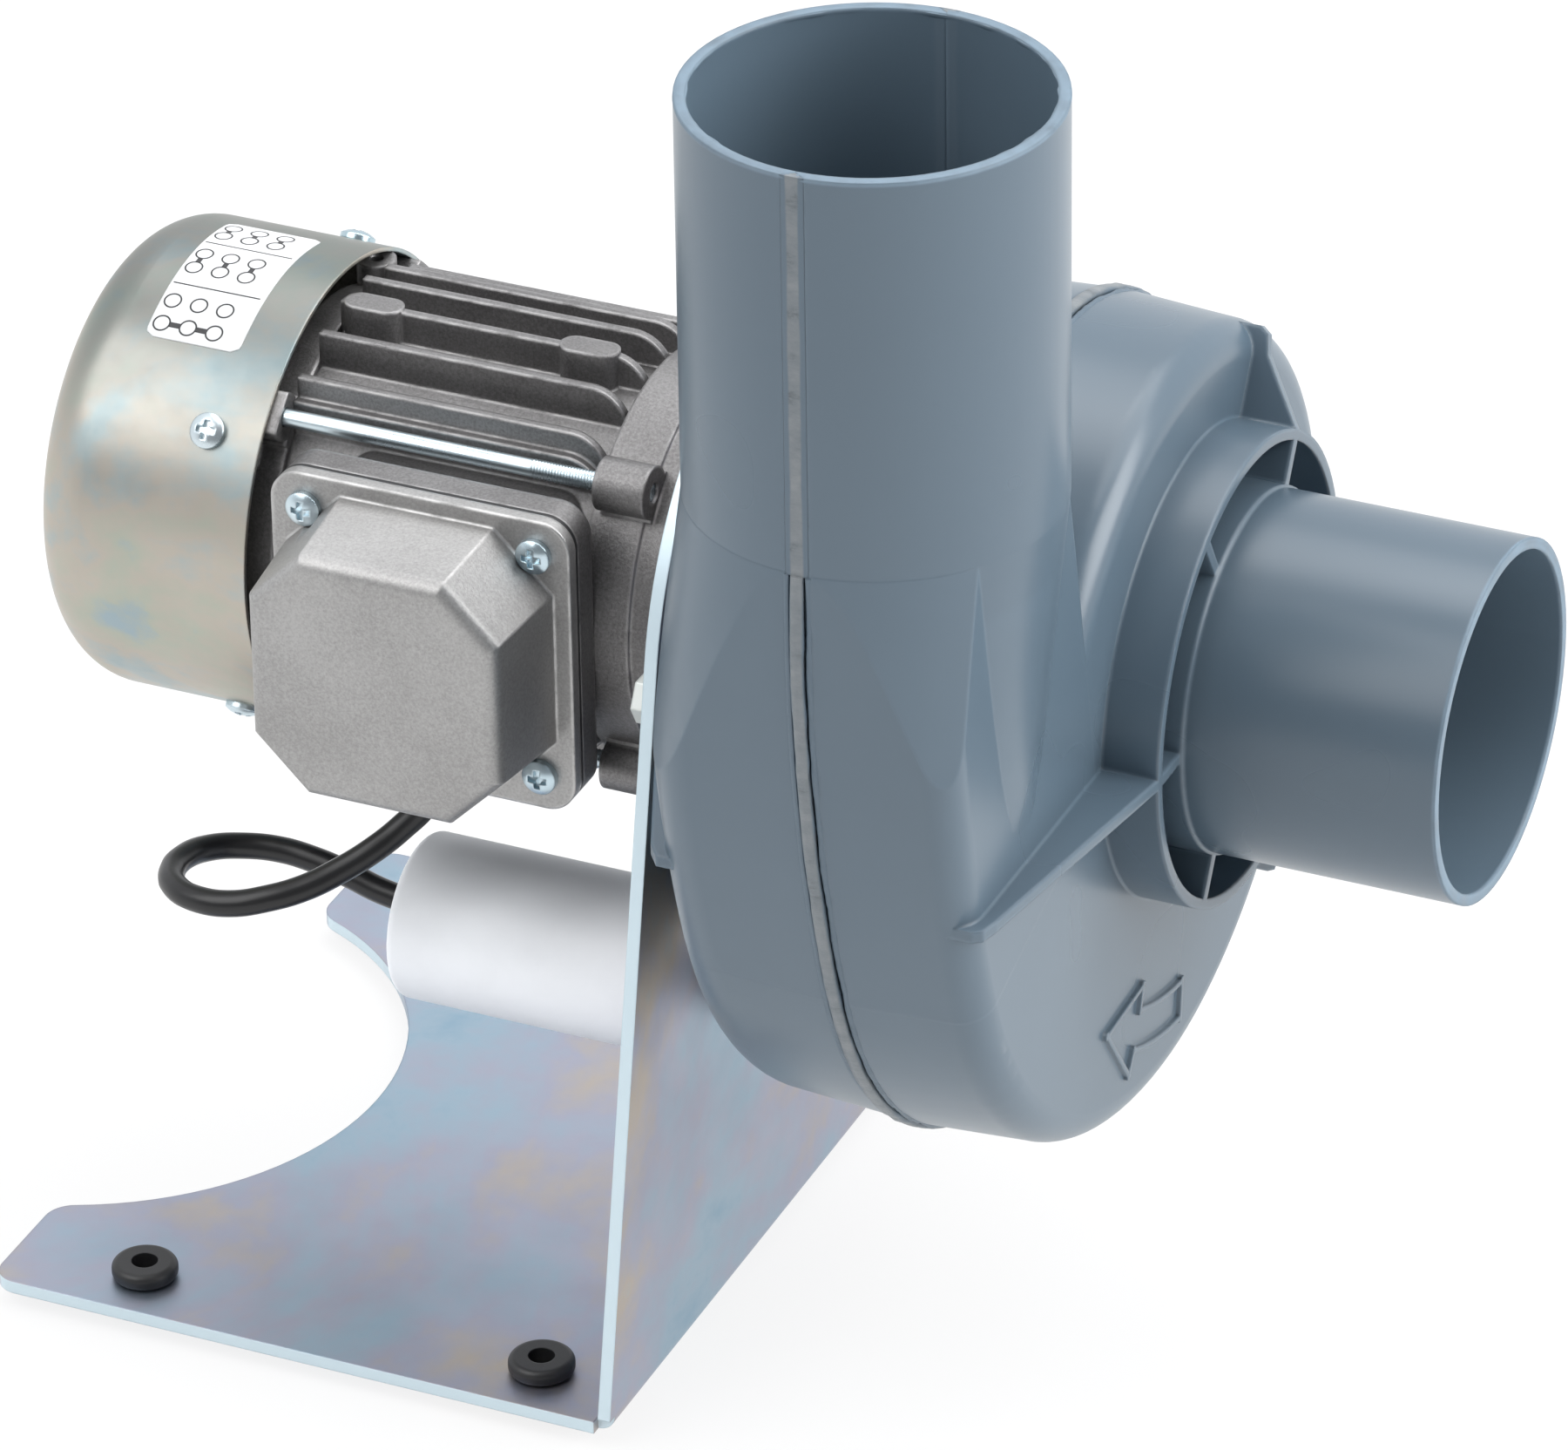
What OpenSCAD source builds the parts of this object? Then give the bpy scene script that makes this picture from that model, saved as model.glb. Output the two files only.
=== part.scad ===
// Centrifugal fan: plastic scroll casing driven by a small fin-cooled motor on a bent steel bracket.
// The shaft runs along X, towards the inlet. The outlet points up along Z.
// The origin lies on the floor, at the centre of the four foot holes.

/* [Bracket] */
// Height of the shaft above the floor
shaft_h = 169; // [150:1:200]
// Thickness of the bent steel sheet
sheet_t = 3; // [2:0.5:4]
// Inside radius of the bend
bend_inner_r = 1; // [0.5:0.5:3]
// Width of the foot
foot_w = 200; // [180:1:240]
// Length of the foot behind the upright
foot_l = 150; // [140:1:180]
// Radius of the rounded top of the upright
upright_r = 68.3; // [67.5:0.1:75]
// Radius of the cut-out between the two legs
cutout_r = 72.5; // [60:0.5:85]
// How far the centre of the cut-out lies behind the leg tips
cutout_back = 24.5; // [20:0.5:40]
// Radius of the outer corner of each leg
leg_corner_r = 6; // [2:1:10]
// Radius of the inner corner of each leg
leg_inner_r = 7; // [4:1:12]
// Distance between the foot holes along the shaft
foot_hole_dx = 98; // [80:1:110]
// Distance from a foot hole to the side of the foot
foot_hole_edge = 14; // [10:1:20]
// Distance from the upright to the nearer foot holes
foot_hole_inset = 20; // [14:1:30]

/* [Rubber grommets] */
// Outer radius of a grommet
grommet_r = 7.5; // [6.5:0.1:9]
// Radius of the hole through a grommet
grommet_hole_r = 3; // [2:0.1:3.5]
// Radius of a grommet where it passes through the sheet
grommet_neck_r = 5; // [4.5:0.1:6]
// Height of a grommet's lip above and below the sheet
grommet_lip = 4; // [3:0.5:6]

/* [Scroll casing] */
// Wall thickness of the plastic
wall = 2.5; // [2:0.1:3.5]
// Distance from the bracket to the plane where the two shells meet
seam_gap = 63.4; // [62:0.1:70]
// Distance from the seam to the flat front face
front_depth = 32.6; // [30:0.1:36]
// Radius of the first arc of the scroll
scroll_r = 79.6; // [78:0.1:84]
// Growth of the scroll's radius from each arc to the next
scroll_step = 15; // [13:0.1:16]
// Radius of the flat last arc that runs into the outlet
throat_r = 298.5; // [270:0.5:320]
// Angle at which the last arc starts, clockwise from the right
throat_angle = 160.5; // [157:0.1:164]
// Radius of the rounded edges in front of the seam
front_edge_r = 7.5; // [5:0.5:12]
// Radius of the rounded edges behind the seam
rear_edge_r = 13.3; // [8:0.1:15]
// Angle at which the walls lean in from the seam towards each face
draft = 3.3; // [2:0.1:4]
// Outer radius of the outlet pipe
outlet_r = 40; // [38:0.1:41]
// Height of the outlet's rim above the shaft
outlet_h = 174.6; // [140:1:220]
// Length of the taper that leads from the scroll into the outlet pipe
taper_l = 77; // [60:1:90]

/* [Weld] */
// Half width of the groove along the seam
groove_w = 2.7; // [2:0.1:3]
// Depth of the groove along the seam
groove_d = 1.8; // [1:0.1:1.9]
// Half width of the weld bead
bead_w = 2; // [1.5:0.1:2]
// Height of the bead above the casing
bead_h = 1.8; // [0.8:0.1:2.4]
// Height above the shaft up to which the bead stands proud
bead_top = 84; // [78:1:84]

/* [Inlet] */
// Outer radius of the inlet spigot
inlet_r = 40; // [38:0.1:40.5]
// Length of the inlet spigot in front of the casing
inlet_l = 70.3; // [50:0.1:90]
// Outer radius of the ring round the spigot
ring_r = 52.6; // [50:0.1:55]
// Height of the ring and its ribs above the casing
ring_h = 13; // [8:0.5:16]
// Thickness of the ribs
rib_t = 2.6; // [2:0.1:4]
// Outer radius of the collar behind the casing
collar_r = 66; // [64:0.5:66.5]

/* [Casing bolts] */
// Radius of the circle of casing bolts
bolt_circle_r = 60.5; // [58:0.5:61]
// Radius of a casing bolt's shank
bolt_r = 3; // [2.5:0.1:3]
// Length of a casing bolt's shank
bolt_l = 20; // [14:1:20]

/* [Impeller] */
// Outer radius of the impeller
wheel_r = 62; // [55:0.5:63]
// Number of blades
blade_count = 11; // [7:1:16]
// Thickness of a blade
blade_t = 2; // [1.5:0.1:3]
// Width of the blades along the shaft
blade_w = 46; // [30:1:50]
// Radius of the blade's curve
blade_curve_r = 36; // [34:1:40]
// Radius of the impeller's inlet eye
eye_r = 43; // [41.5:0.5:48]
// Radius of the impeller's hub
hub_r = 12; // [9:0.5:14]

/* [Motor] */
// Radius of the motor housing without its fins
housing_r = 42.5; // [42:0.1:43.5]
// Radius of the circle that the fin tops reach
fin_r = 49.8; // [48:0.1:51]
// Distance from fin to fin
fin_pitch = 11; // [10:0.1:11.5]
// Thickness of a fin
fin_t = 2.2; // [1.5:0.1:3]
// Rounding of a fin's front end
fin_end_r = 9; // [4:0.5:10]
// Length of the drive-end shield
shield_l = 26; // [24:0.5:30]
// Radius of the drive-end shield
shield_r = 46; // [44.5:0.1:47]
// Length of the housing between the two shields
housing_l = 74; // [70:1:84]
// Outer radius of the fan cowl
cowl_r = 53.2; // [52.5:0.1:56]
// Sheet thickness of the fan cowl
cowl_t = 1; // [0.6:0.1:1.5]
// Length of the fan cowl
cowl_l = 54.7; // [50:0.1:60]
// Rounding of the cowl's closed end
cowl_corner_r = 14; // [8:0.5:16]
// Radius of the circle that the four tie rods lie on
rod_circle_r = 49.2; // [48.8:0.1:49.6]
// Radius of a tie rod
rod_r = 2.2; // [1.8:0.1:2.4]

/* [Rotor] */
// Radius of the shaft in the bearings
bearing_bore_r = 6; // [5:0.5:6]
// Outer radius of the bearings
bearing_r = 16; // [14:0.5:17]
// Width of a bearing
bearing_w = 10; // [8:0.5:11]
// Radius of the rotor
rotor_r = 22; // [18:0.5:24]
// Gap between rotor and stator
air_gap = 0.4; // [0.3:0.05:0.6]
// Length of the laminated cores
core_l = 46; // [36:1:48]
// Radius of the shaft end that carries the impeller
shaft_end_r = 4.5; // [4:0.1:4.5]

/* [Terminal box] */
// Distance from a lid screw to the edge of the lid's flange
lid_edge = 8.1; // [7.8:0.1:10]
// Thickness of the lid's flange
lid_t = 3.2; // [2.5:0.1:4]
// Corner radius of the lid's flange
lid_corner_r = 7; // [4:0.5:8]
// Depth of the octagonal hump on the lid
hump_h = 24.6; // [16:0.1:26]
// Half width of the hump at its foot
hump_foot = 31.8; // [30:0.1:32]
// Half width of the hump at its flat top
hump_top = 29.5; // [27:0.1:30]
// Distance from the shaft to the joint between box and lid
box_y = 53; // [52.5:0.5:56]
// Distance between the lid screws
lid_screw_pitch = 54.8; // [54:0.1:57]

/* [Capacitor] */
// Radius of the capacitor
cap_r = 19; // [15:0.5:20]
// Length of the capacitor
cap_l = 70; // [50:1:90]
// Sideways place of the capacitor
cap_y = -32; // [-36:1:-28]
// Height of the capacitor below the shaft
cap_drop = 86.8; // [86:0.1:90]
// Diameter of the lead
lead_d = 6; // [5:0.5:6.5]

/* [Hidden] */

$fn = 96;

// A length rounded to a thousandth of a millimetre
function snap(v) = round(v * 1000) / 1000;

// Clearance between a part and the piece that it fits round
fit = 0.1;
// Reach of a cut beyond the face that it leaves through
over = 1;
// Nearly nothing, for pieces that only have to meet
tiny = 0.01;
// Step where two curved walls meet, so that their faces don't nearly coincide
joint_step = 0.05;
// How far inside a rounding the wall that leads into it ends, so that the two faces cross
joint_inset = 0.02;

// Bracket
foot_under = -shaft_h + grommet_lip;
foot_top = foot_under + sheet_t;
bend_r = bend_inner_r + sheet_t;
bend_relief = 2.5;
upright_foot_z = foot_under + bend_r;
foot_hole_dy = foot_w - 2 * foot_hole_edge;
foot_hole_x = [-foot_hole_inset, -foot_hole_inset - foot_hole_dx];
origin_x = foot_hole_inset + foot_hole_dx / 2;
upright_hole_r = 25.2;

// Scroll, in a plane across the shaft: Y to the right, Z up
seam_x = sheet_t + seam_gap;
front_x = seam_x + front_depth;
rear_x = seam_x - outlet_r;
first_c = [0.5, -5.7];
third_c = first_c + scroll_step * [-1, 1];
third_r = scroll_r + 2 * scroll_step;
throat_c = third_c - (throat_r - third_r) * [cos(throat_angle), -sin(throat_angle)];
arc_c = [first_c, first_c - [scroll_step, 0], third_c, [snap(throat_c[0]), snap(throat_c[1])]];
arc_radius = [scroll_r, scroll_r + scroll_step, third_r, throat_r];
throat_in_r = throat_r - 2 * outlet_r;
throat_y = arc_c[3][0] - throat_r;
throat_z = arc_c[3][1];
neck_line = arc_c[3] - arc_c[0];
neck_dir = atan2(neck_line[1], neck_line[0]);
neck_end = neck_dir + acos((scroll_r * scroll_r + neck_line * neck_line - throat_in_r * throat_in_r)
    / (2 * scroll_r * norm(neck_line)));
seam_from = [0, -90, -90, 180];
seam_to = [neck_end - 2, 0, -throat_angle, 360.5 - throat_angle];
neck_angle = neck_dir - acos((throat_in_r * throat_in_r + neck_line * neck_line - scroll_r * scroll_r)
    / (2 * throat_in_r * norm(neck_line)));
seam_band = groove_w + 0.5;
neck_point = arc_c[0] + scroll_r * [cos(neck_end), sin(neck_end)];
neck_at = atan2(neck_point[1], neck_point[0]);
third_end = third_c + third_r * [cos(throat_angle), -sin(throat_angle)];
third_from = 360 + atan2(third_end[1], third_end[0]);
outlet_y = throat_y + outlet_r;
taper_top = throat_z + 12;
taper_slope = 0.13;

// Inlet
ring_x = front_x + ring_h;
inlet_x = front_x + inlet_l;
ring_wall = 2.4;
rib_angles = [60, 180, 300];
web_angles = [0, 120, 240];
rear_rib_angles = [0, 180, 240, 300];
front_tip_h = 4.2;
rear_tip_h = 2.4;
collar_reach = 4;
spigot_root = 0.5;
hub_hole_r = 17;

// Motor, in millimetres along the shaft from the upright's motor side
housing_wall = 2.5;
housing_x0 = -shield_l - housing_l;
rod_angles = [45, 135, 225, 315];
cowl_screw_angles = [53, 143, 233, 323];
cowl_x = housing_x0 - 2.4;
cowl_screw_x = cowl_x - 12.6;
rear_shield_l = 8;
rear_shield_x = housing_x0 - rear_shield_l;
front_bearing_x = -19;
rear_bearing_x = rear_shield_x - 8;
core_x = -shield_l - housing_l / 2 - core_l / 2;
spigot_r = 25;
motor_screw_circle_r = 32.5;
motor_screw_r = 2.5;
fan_x = rear_bearing_x - 18;
fan_w = 14;

// Impeller
wheel_x = 36;
plate_t = 2.2;
shaft_tip_x = 24;
eye_x = wheel_x + plate_t + blade_w;
nozzle_r = 40;

// Terminal box
box_x = -57.3;
hump_x = box_x - 0.5;
box_half = lid_screw_pitch / 2 + lid_edge;
neck_half = box_half - 6.5;
neck_y = 46;
box_wall = 3;
gasket_t = 1;
lid_y = -box_y - gasket_t;
screw_plane_y = lid_y - lid_t;
m4_head_r = 4;
m4_r = 2;
floor_y = housing_r + 1.5;
block_h = 9;
block_gap = 4;
block_l = 2 * (neck_half - box_wall - block_gap);
block_w = 26;
stud_r = 1.65;
stud_l = 13;
stud_xs = [-12, 0, 12];
stud_zs = [-6.5, 6.5];
lid_screw_l = 9;
gland_x = -60.5;
gland_y = -45.5;
gland_r = 7;
gland_l = 5.5;
lead_clearance = 0.4;

// Capacitor and lead
cap_z = -cap_drop;
cap_foot_l = 3;
lead_points = [
    [-60.5, -45.5, -31], [-60.5, -45.5, -39], [-62.7, -46.8, -47], [-67.7, -50.3, -53.2],
    [-73, -55, -57.9], [-79, -60, -61.8], [-84.9, -65.1, -64.5], [-91.7, -69.5, -66.3],
    [-99.3, -72, -68], [-107.4, -71.9, -68.9], [-114.7, -68.3, -69.6], [-119.3, -61.6, -70.5],
    [-120.4, -53.5, -71.3], [-118.1, -45.7, -72.7], [-112.5, -39.9, -74.1], [-104.9, -36.9, -75],
    [-97, -36, -76.3], [-89, -35.9, -78.1], [-81.2, -36, -80.4], [-73.1, -36, -81.8]
];

casing_colour = "#6f7f88";
steel_colour = "#b7c3cc";
alloy_colour = "#9a9a98";

// Frames and small helpers

// Places a shape so that its own X, Y and Z lie along Y, Z and the shaft
module on_shaft() {
    rotate([90, 0, 90]) children();
}

// A cylinder on the shaft axis
module disc(x0, x1, r) {
    translate([0, 0, x0]) cylinder(h = x1 - x0, r = r);
}

module tube(x0, x1, r_out, r_in) {
    difference() {
        disc(x0, x1, r_out);
        disc(x0 - over, x1 + over, r_in);
    }
}

// A shape revolved round the shaft between two angles; its own Y runs along the shaft
module sweep_arc(from, to) {
    rotate([0, 0, from]) rotate_extrude(angle = to - from) children();
}

// Copies round the shaft
module at_angles(angles, r) {
    for (a = angles) rotate([0, 0, a]) translate([r, 0, 0]) children();
}

// A hexagon by its width across flats
module hexagon(across, h) {
    cylinder(h = h, r = across / sqrt(3), $fn = 6);
}

// A pan head with a rounded rim and a cross recess; it stands on Z = 0
module pan_head(r, h) {
    slot = r * 0.36;
    difference() {
        rotate_extrude() intersection() {
            square([r, h]);
            translate([0, h - r * 1.7]) circle(r = r * 1.7);
        }
        for (a = [0, 90]) rotate([0, 0, a])
            translate([-r * 0.55, -slot / 2, h * 0.45]) cube([r * 1.1, slot, h]);
    }
}

// Bracket

// The upright seen along the shaft: a round top with straight sides that touch it
module upright_outline() {
    reach = norm([foot_w / 2, upright_foot_z]);
    spread = acos(upright_r / reach);
    down = atan2(upright_foot_z, foot_w / 2);
    touch = upright_r * [cos(down + spread), sin(down + spread)];
    circle(r = upright_r);
    polygon([
        [foot_w / 2, upright_foot_z], touch, [-touch[0], touch[1]], [-foot_w / 2, upright_foot_z]
    ]);
}

module upright() {
    on_shaft() difference() {
        linear_extrude(sheet_t) upright_outline();
        disc(-over, sheet_t + over, upright_hole_r);
        at_angles(rib_angles, bolt_circle_r) disc(-over, sheet_t + over, bolt_r + 0.3);
        at_angles(rod_angles, motor_screw_circle_r) disc(-over, sheet_t + over, motor_screw_r + 0.25);
        translate([cap_y, cap_z]) disc(-over, sheet_t + over, 4.25);
    }
}

// The strip between foot and upright, cut back at both ends as a bend relief
module bend() {
    w = foot_w - 2 * bend_relief;
    translate([-bend_inner_r, w / 2, upright_foot_z]) rotate([90, 0, 0]) linear_extrude(w)
        intersection() {
            difference() {
                circle(r = bend_r);
                circle(r = bend_inner_r);
            }
            translate([0, -bend_r]) square(bend_r);
        }
}

// What is taken off a square corner at the origin to round it
module corner_cut(r) {
    difference() {
        translate([-over, -over]) square(r + over);
        translate([r, r]) circle(r = r);
    }
}

// One leg's inner corner, between its tip and the round cut-out
module leg_inner_corner_cut() {
    arc_centre = [-foot_l - cutout_back, 0];
    centre_x = -foot_l + leg_inner_r;
    span = cutout_r + leg_inner_r;
    centre = [centre_x, sqrt(span * span - pow(centre_x - arc_centre[0], 2))];
    on_arc = arc_centre + (centre - arc_centre) * cutout_r / span;
    difference() {
        polygon([centre, [-foot_l, centre[1]], [-foot_l - over, centre[1]], [-foot_l - over, 0], on_arc]);
        translate(centre) circle(r = leg_inner_r);
    }
}

module foot_outline() {
    difference() {
        translate([-foot_l, -foot_w / 2]) square([foot_l - bend_inner_r, foot_w]);
        translate([-foot_l - cutout_back, 0]) circle(r = cutout_r);
        for (side = [0, 1]) mirror([0, side]) {
            translate([-foot_l, -foot_w / 2]) corner_cut(leg_corner_r);
            leg_inner_corner_cut();
        }
        for (x = foot_hole_x, y = [-1, 1] * foot_hole_dy / 2)
            translate([x, y]) circle(r = grommet_neck_r);
    }
}

module base_bracket() {
    color(steel_colour) union() {
        upright();
        bend();
        translate([0, 0, foot_under]) linear_extrude(sheet_t) foot_outline();
    }
}

// Half of a grommet's outline, from the floor up
module grommet_outline() {
    round_r = 1.6;
    total = 2 * grommet_lip + sheet_t;
    difference() {
        union() {
            for (z = [0, total - grommet_lip]) {
                translate([0, z]) square([grommet_r - round_r, grommet_lip]);
                translate([0, z + round_r]) square([grommet_r, grommet_lip - 2 * round_r]);
                for (end = [round_r, grommet_lip - round_r])
                    translate([grommet_r - round_r, z + end]) circle(r = round_r);
            }
            square([grommet_neck_r, total]);
        }
        translate([-over, -over]) square([grommet_hole_r + over, total + 2 * over]);
    }
}

module foot_grommets() {
    color("#161616") for (x = foot_hole_x, y = [-1, 1] * foot_hole_dy / 2)
        translate([x, y, -shaft_h]) rotate_extrude() grommet_outline();
}

// Scroll casing. g is how far every face lies inside the outer surface.
// half is 1 for what lies in front of the seam, -1 for what lies behind it, 0 for both

// Points up one side of a section: the end of the upright band at the seam, where the leaning wall runs
// into the rounding, the rounding's centre, and where the flat face starts.
// side is 1 in front of the seam, -1 behind it
function side_points(r, g, side) = let (
        edge = side > 0 ? front_edge_r : rear_edge_r,
        top = (side > 0 ? front_depth : outlet_r) - g,
        e = edge - g,
        c = [snap(r - g - (e + sin(draft) * (top - e - seam_band)) / cos(draft)), top - e],
        reach = e - joint_inset,
        meet = [snap(c[0] + reach * cos(draft)), snap(c[1] + reach * sin(draft))]
    )
    [for (p = [[r - g, seam_band], meet, c, [c[0], top]]) [p[0], side * p[1]]];

function backwards(points) = [for (k = [len(points) - 1:-1:0]) points[k]];

// Draws a section's roundings about the centres in its side points
module roundings(front, rear, g) {
    if (len(front) > 0) translate(front[2]) circle(r = front_edge_r - g);
    if (len(rear) > 0) translate(rear[2]) circle(r = rear_edge_r - g);
}

// Section from the shaft out to radius r at the seam; its Y runs along the shaft from the seam
module scroll_section(r, g, half) {
    front = half < 0 ? [] : side_points(r, g, 1);
    rear = half > 0 ? [] : side_points(r, g, -1);
    translate([0, seam_x]) difference() {
        union() {
            polygon(concat([[0, half > 0 ? 0 : g - outlet_r]], backwards(rear), [[r - g, 0]], front,
                [[0, half < 0 ? 0 : front_depth - g]]));
            roundings(front, rear, g);
        }
        if (g == 0) translate([r, 0]) groove_profile();
    }
}

// Section of the throat between its two side walls. It stands out past the scroll by the joint's step
module throat_section(g, half) {
    out = g - joint_step;
    front = half < 0 ? [] : side_points(throat_r, out, 1);
    rear = half > 0 ? [] : side_points(throat_r, out, -1);
    across = throat_r + throat_in_r;
    inner_front = [for (p = front) [across - p[0], p[1]]];
    inner_rear = [for (p = rear) [across - p[0], p[1]]];
    translate([0, seam_x]) difference() {
        union() {
            polygon(concat([[throat_r - out, 0]], front, backwards(inner_front),
                [[throat_in_r + out, 0]], inner_rear, backwards(rear)));
            roundings(front, rear, out);
            roundings(inner_front, inner_rear, out);
        }
        if (g == 0) {
            translate([throat_r - out, 0]) groove_profile();
            translate([throat_in_r + out, 0]) mirror([1, 0]) groove_profile();
        }
    }
}

// Throat: the last arc and a straight piece, trimmed round towards the outlet pipe
module throat(g, half) {
    straight_l = taper_top - throat_z;
    cone_l = taper_top + 70;
    top_r = outlet_r - g + joint_step;
    intersection() {
        union() {
            on_shaft() translate(arc_c[3]) sweep_arc(180, 360 - throat_angle) throat_section(g, half);
            translate([0, arc_c[3][0], throat_z]) rotate([0, 0, -90])
                linear_extrude(straight_l) throat_section(g, half);
        }
        translate([seam_x, outlet_y, taper_top - cone_l])
            cylinder(h = cone_l, r1 = top_r + taper_slope * cone_l, r2 = top_r);
    }
}

// A round piece about the outlet's axis between two heights
module outlet_round(z0, z1, r0, r1, half) {
    translate([seam_x, outlet_y, 0]) rotate([0, 0, half < 0 ? 90 : -90])
        rotate_extrude(angle = half == 0 ? 360 : 180) polygon([[0, z0], [r0, z0], [r1, z1], [0, z1]]);
}

module scroll_body(g, half = 0) {
    on_shaft() {
        translate(arc_c[0]) sweep_arc(0, 180) scroll_section(arc_radius[0], g, half);
        translate(arc_c[1]) sweep_arc(-90, 0) scroll_section(arc_radius[1], g, half);
        translate(arc_c[2]) sweep_arc(-180, -90) scroll_section(arc_radius[2], g, half);
    }
    throat(g, half);
    difference() {
        outlet_round(taper_top, outlet_h + g, outlet_r - g, outlet_r - g, half);
        if (g == 0) for (side = [-1, 1])
            along_pipe(side, taper_top - over, outlet_h + over) groove_profile();
    }
    // The half cone by which the pipe fades into the front face; it reaches a little below that face
    below = 1;
    cone_l = taper_l * (1 + below / (outlet_r - front_depth));
    if (half >= 0) intersection() {
        outlet_round(taper_top - cone_l, taper_top, front_depth - below - g, outlet_r - g, 1);
        translate([seam_x + front_depth / 2, outlet_y - 50, taper_top - cone_l - over])
            cube([50, 100, cone_l + 2 * over]);
    }
}

// Distance from the shaft to the casing's outline at an angle
function ray(k, a) = let (u = [cos(a), sin(a)], b = arc_c[k] * u)
    b + sqrt(arc_radius[k] * arc_radius[k] - arc_c[k] * arc_c[k] + b * b);
function outline_r(a) = a >= 0 && a < neck_at ? ray(0, a)
    : a >= 270 ? ray(1, a)
    : a >= third_from ? ray(2, a)
    : ray(3, a);

// The groove has sloping sides that meet on the seam; the bead fills it and stands proud
module groove_profile() {
    grow = (groove_d + over) / groove_d;
    polygon([[-groove_d, 0], [over, groove_w * grow], [over, -groove_w * grow]]);
}

module flush_profile() {
    polygon([[-groove_d, 0], [0, groove_w], [0, -groove_w]]);
}

module bead_profile() {
    shoulder = -groove_d + groove_d * bead_w / groove_w;
    round_r = 0.6;
    polygon([[-groove_d, 0], [shoulder, bead_w], [bead_h - round_r, bead_w],
        [bead_h, bead_w - round_r], [bead_h, round_r - bead_w], [bead_h - round_r, -bead_w],
        [shoulder, -bead_w]]);
}

// A profile along one of the arcs of the scroll
module along_seam(k, from, to) {
    r = arc_radius[k] + (k == 3 ? joint_step : 0);
    on_shaft() translate(arc_c[k]) sweep_arc(from, to) translate([r, seam_x]) children();
}

// A profile along the outlet pipe, on its far (1) or near (-1) side
module along_pipe(side, z0, z1, out = 0) {
    translate([seam_x, outlet_y, z0]) rotate([0, 0, 90 * side]) linear_extrude(z1 - z0)
        translate([outlet_r + out, 0]) children();
}

// The bead stands proud up to bead_top; above that, and in the neck, it is ground flush
module weld_bead() {
    color("#8f9798") {
        for (k = [0:3]) along_seam(k, seam_from[k], seam_to[k]) bead_profile();
        along_pipe(-1, throat_z, bead_top, joint_step) bead_profile();
        along_pipe(-1, bead_top, outlet_h) flush_profile();
        on_shaft() translate(arc_c[3]) sweep_arc(180, 180 + neck_angle)
            translate([throat_in_r - joint_step, seam_x]) mirror([1, 0]) flush_profile();
        along_pipe(1, throat_z, taper_top, joint_step) flush_profile();
        along_pipe(1, taper_top, outlet_h) flush_profile();
    }
}

// Ribs. Each stands in a plane through the shaft; its outline runs out from the shaft and along it

// Front rib: from the ring down to the casing's edge
module front_rib(a) {
    r1 = outline_r(a) - 2;
    x_tip = front_x + front_tip_h - 0.5;
    rotate([0, 0, a]) rotate([90, 0, 0]) translate([0, 0, -rib_t / 2]) linear_extrude(rib_t)
        polygon([[ring_r - ring_wall, front_x - over], [ring_r - ring_wall, ring_x],
            [ring_r, ring_x], [r1 - 6, x_tip], [r1 - 1.5, x_tip - 1], [r1, x_tip - 3],
            [r1, front_x - front_edge_r + 2], [r1 - front_edge_r, front_x - over]]);
}

// Web between the spigot and the ring
module web(a) {
    rotate([0, 0, a]) rotate([90, 0, 0]) translate([0, 0, -rib_t / 2]) linear_extrude(rib_t)
        polygon([[inlet_r - wall / 2, front_x - over], [inlet_r - wall / 2, ring_x],
            [ring_r - ring_wall / 2, ring_x], [ring_r - ring_wall / 2, front_x - over]]);
}

// Rear rib: from the collar at the bracket up to the casing's edge
module rear_rib(a) {
    r1 = outline_r(a) - 5;
    rotate([0, 0, a]) rotate([90, 0, 0]) translate([0, 0, -rib_t / 2]) linear_extrude(rib_t)
        polygon([[collar_r - ring_wall / 2, rear_x + over], [collar_r - ring_wall / 2, sheet_t + 0.5],
            [collar_r + 3, sheet_t + 0.5], [r1 - 4, rear_x - rear_tip_h],
            [r1, rear_x - rear_tip_h + 3], [r1, rear_x + rear_edge_r - 6],
            [r1 - rear_edge_r, rear_x + over]]);
}

// Outline of the arrow that shows which way the impeller turns: a bent tail and a pointed head
module arrow_bar(p, q) {
    line_w = 1.3;
    l = norm(q - p);
    translate(p) rotate([0, 0, atan2(q[1] - p[1], q[0] - p[0])])
        translate([-0.8 * line_w, -line_w / 2, 0]) cube([l + 1.6 * line_w, line_w, over + 0.9]);
}

module rotation_arrow() {
    tail_a = 264.5;
    neck_a = 246;
    tip_a = 233;
    r_in = 77.5;
    r_out = 86.5;
    barb = 5.5;
    at = function (r, a) r * [cos(a), sin(a)];
    on_shaft() translate([0, 0, front_x - over]) {
        for (r = [r_in, r_out])
            rotate([0, 0, neck_a]) rotate_extrude(angle = tail_a - neck_a)
                translate([r - 0.65, 0]) square([1.3, over + 0.9]);
        arrow_bar(at(r_in, tail_a), at(r_out, tail_a));
        arrow_bar(at(r_in, neck_a), at(r_in - barb, neck_a - 0.5));
        arrow_bar(at(r_out, neck_a), at(r_out + barb, neck_a - 0.5));
        arrow_bar(at(r_in - barb, neck_a - 0.5), at((r_in + r_out) / 2 + 1.5, tip_a));
        arrow_bar(at(r_out + barb, neck_a - 0.5), at((r_in + r_out) / 2 + 1.5, tip_a));
    }
}

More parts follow.
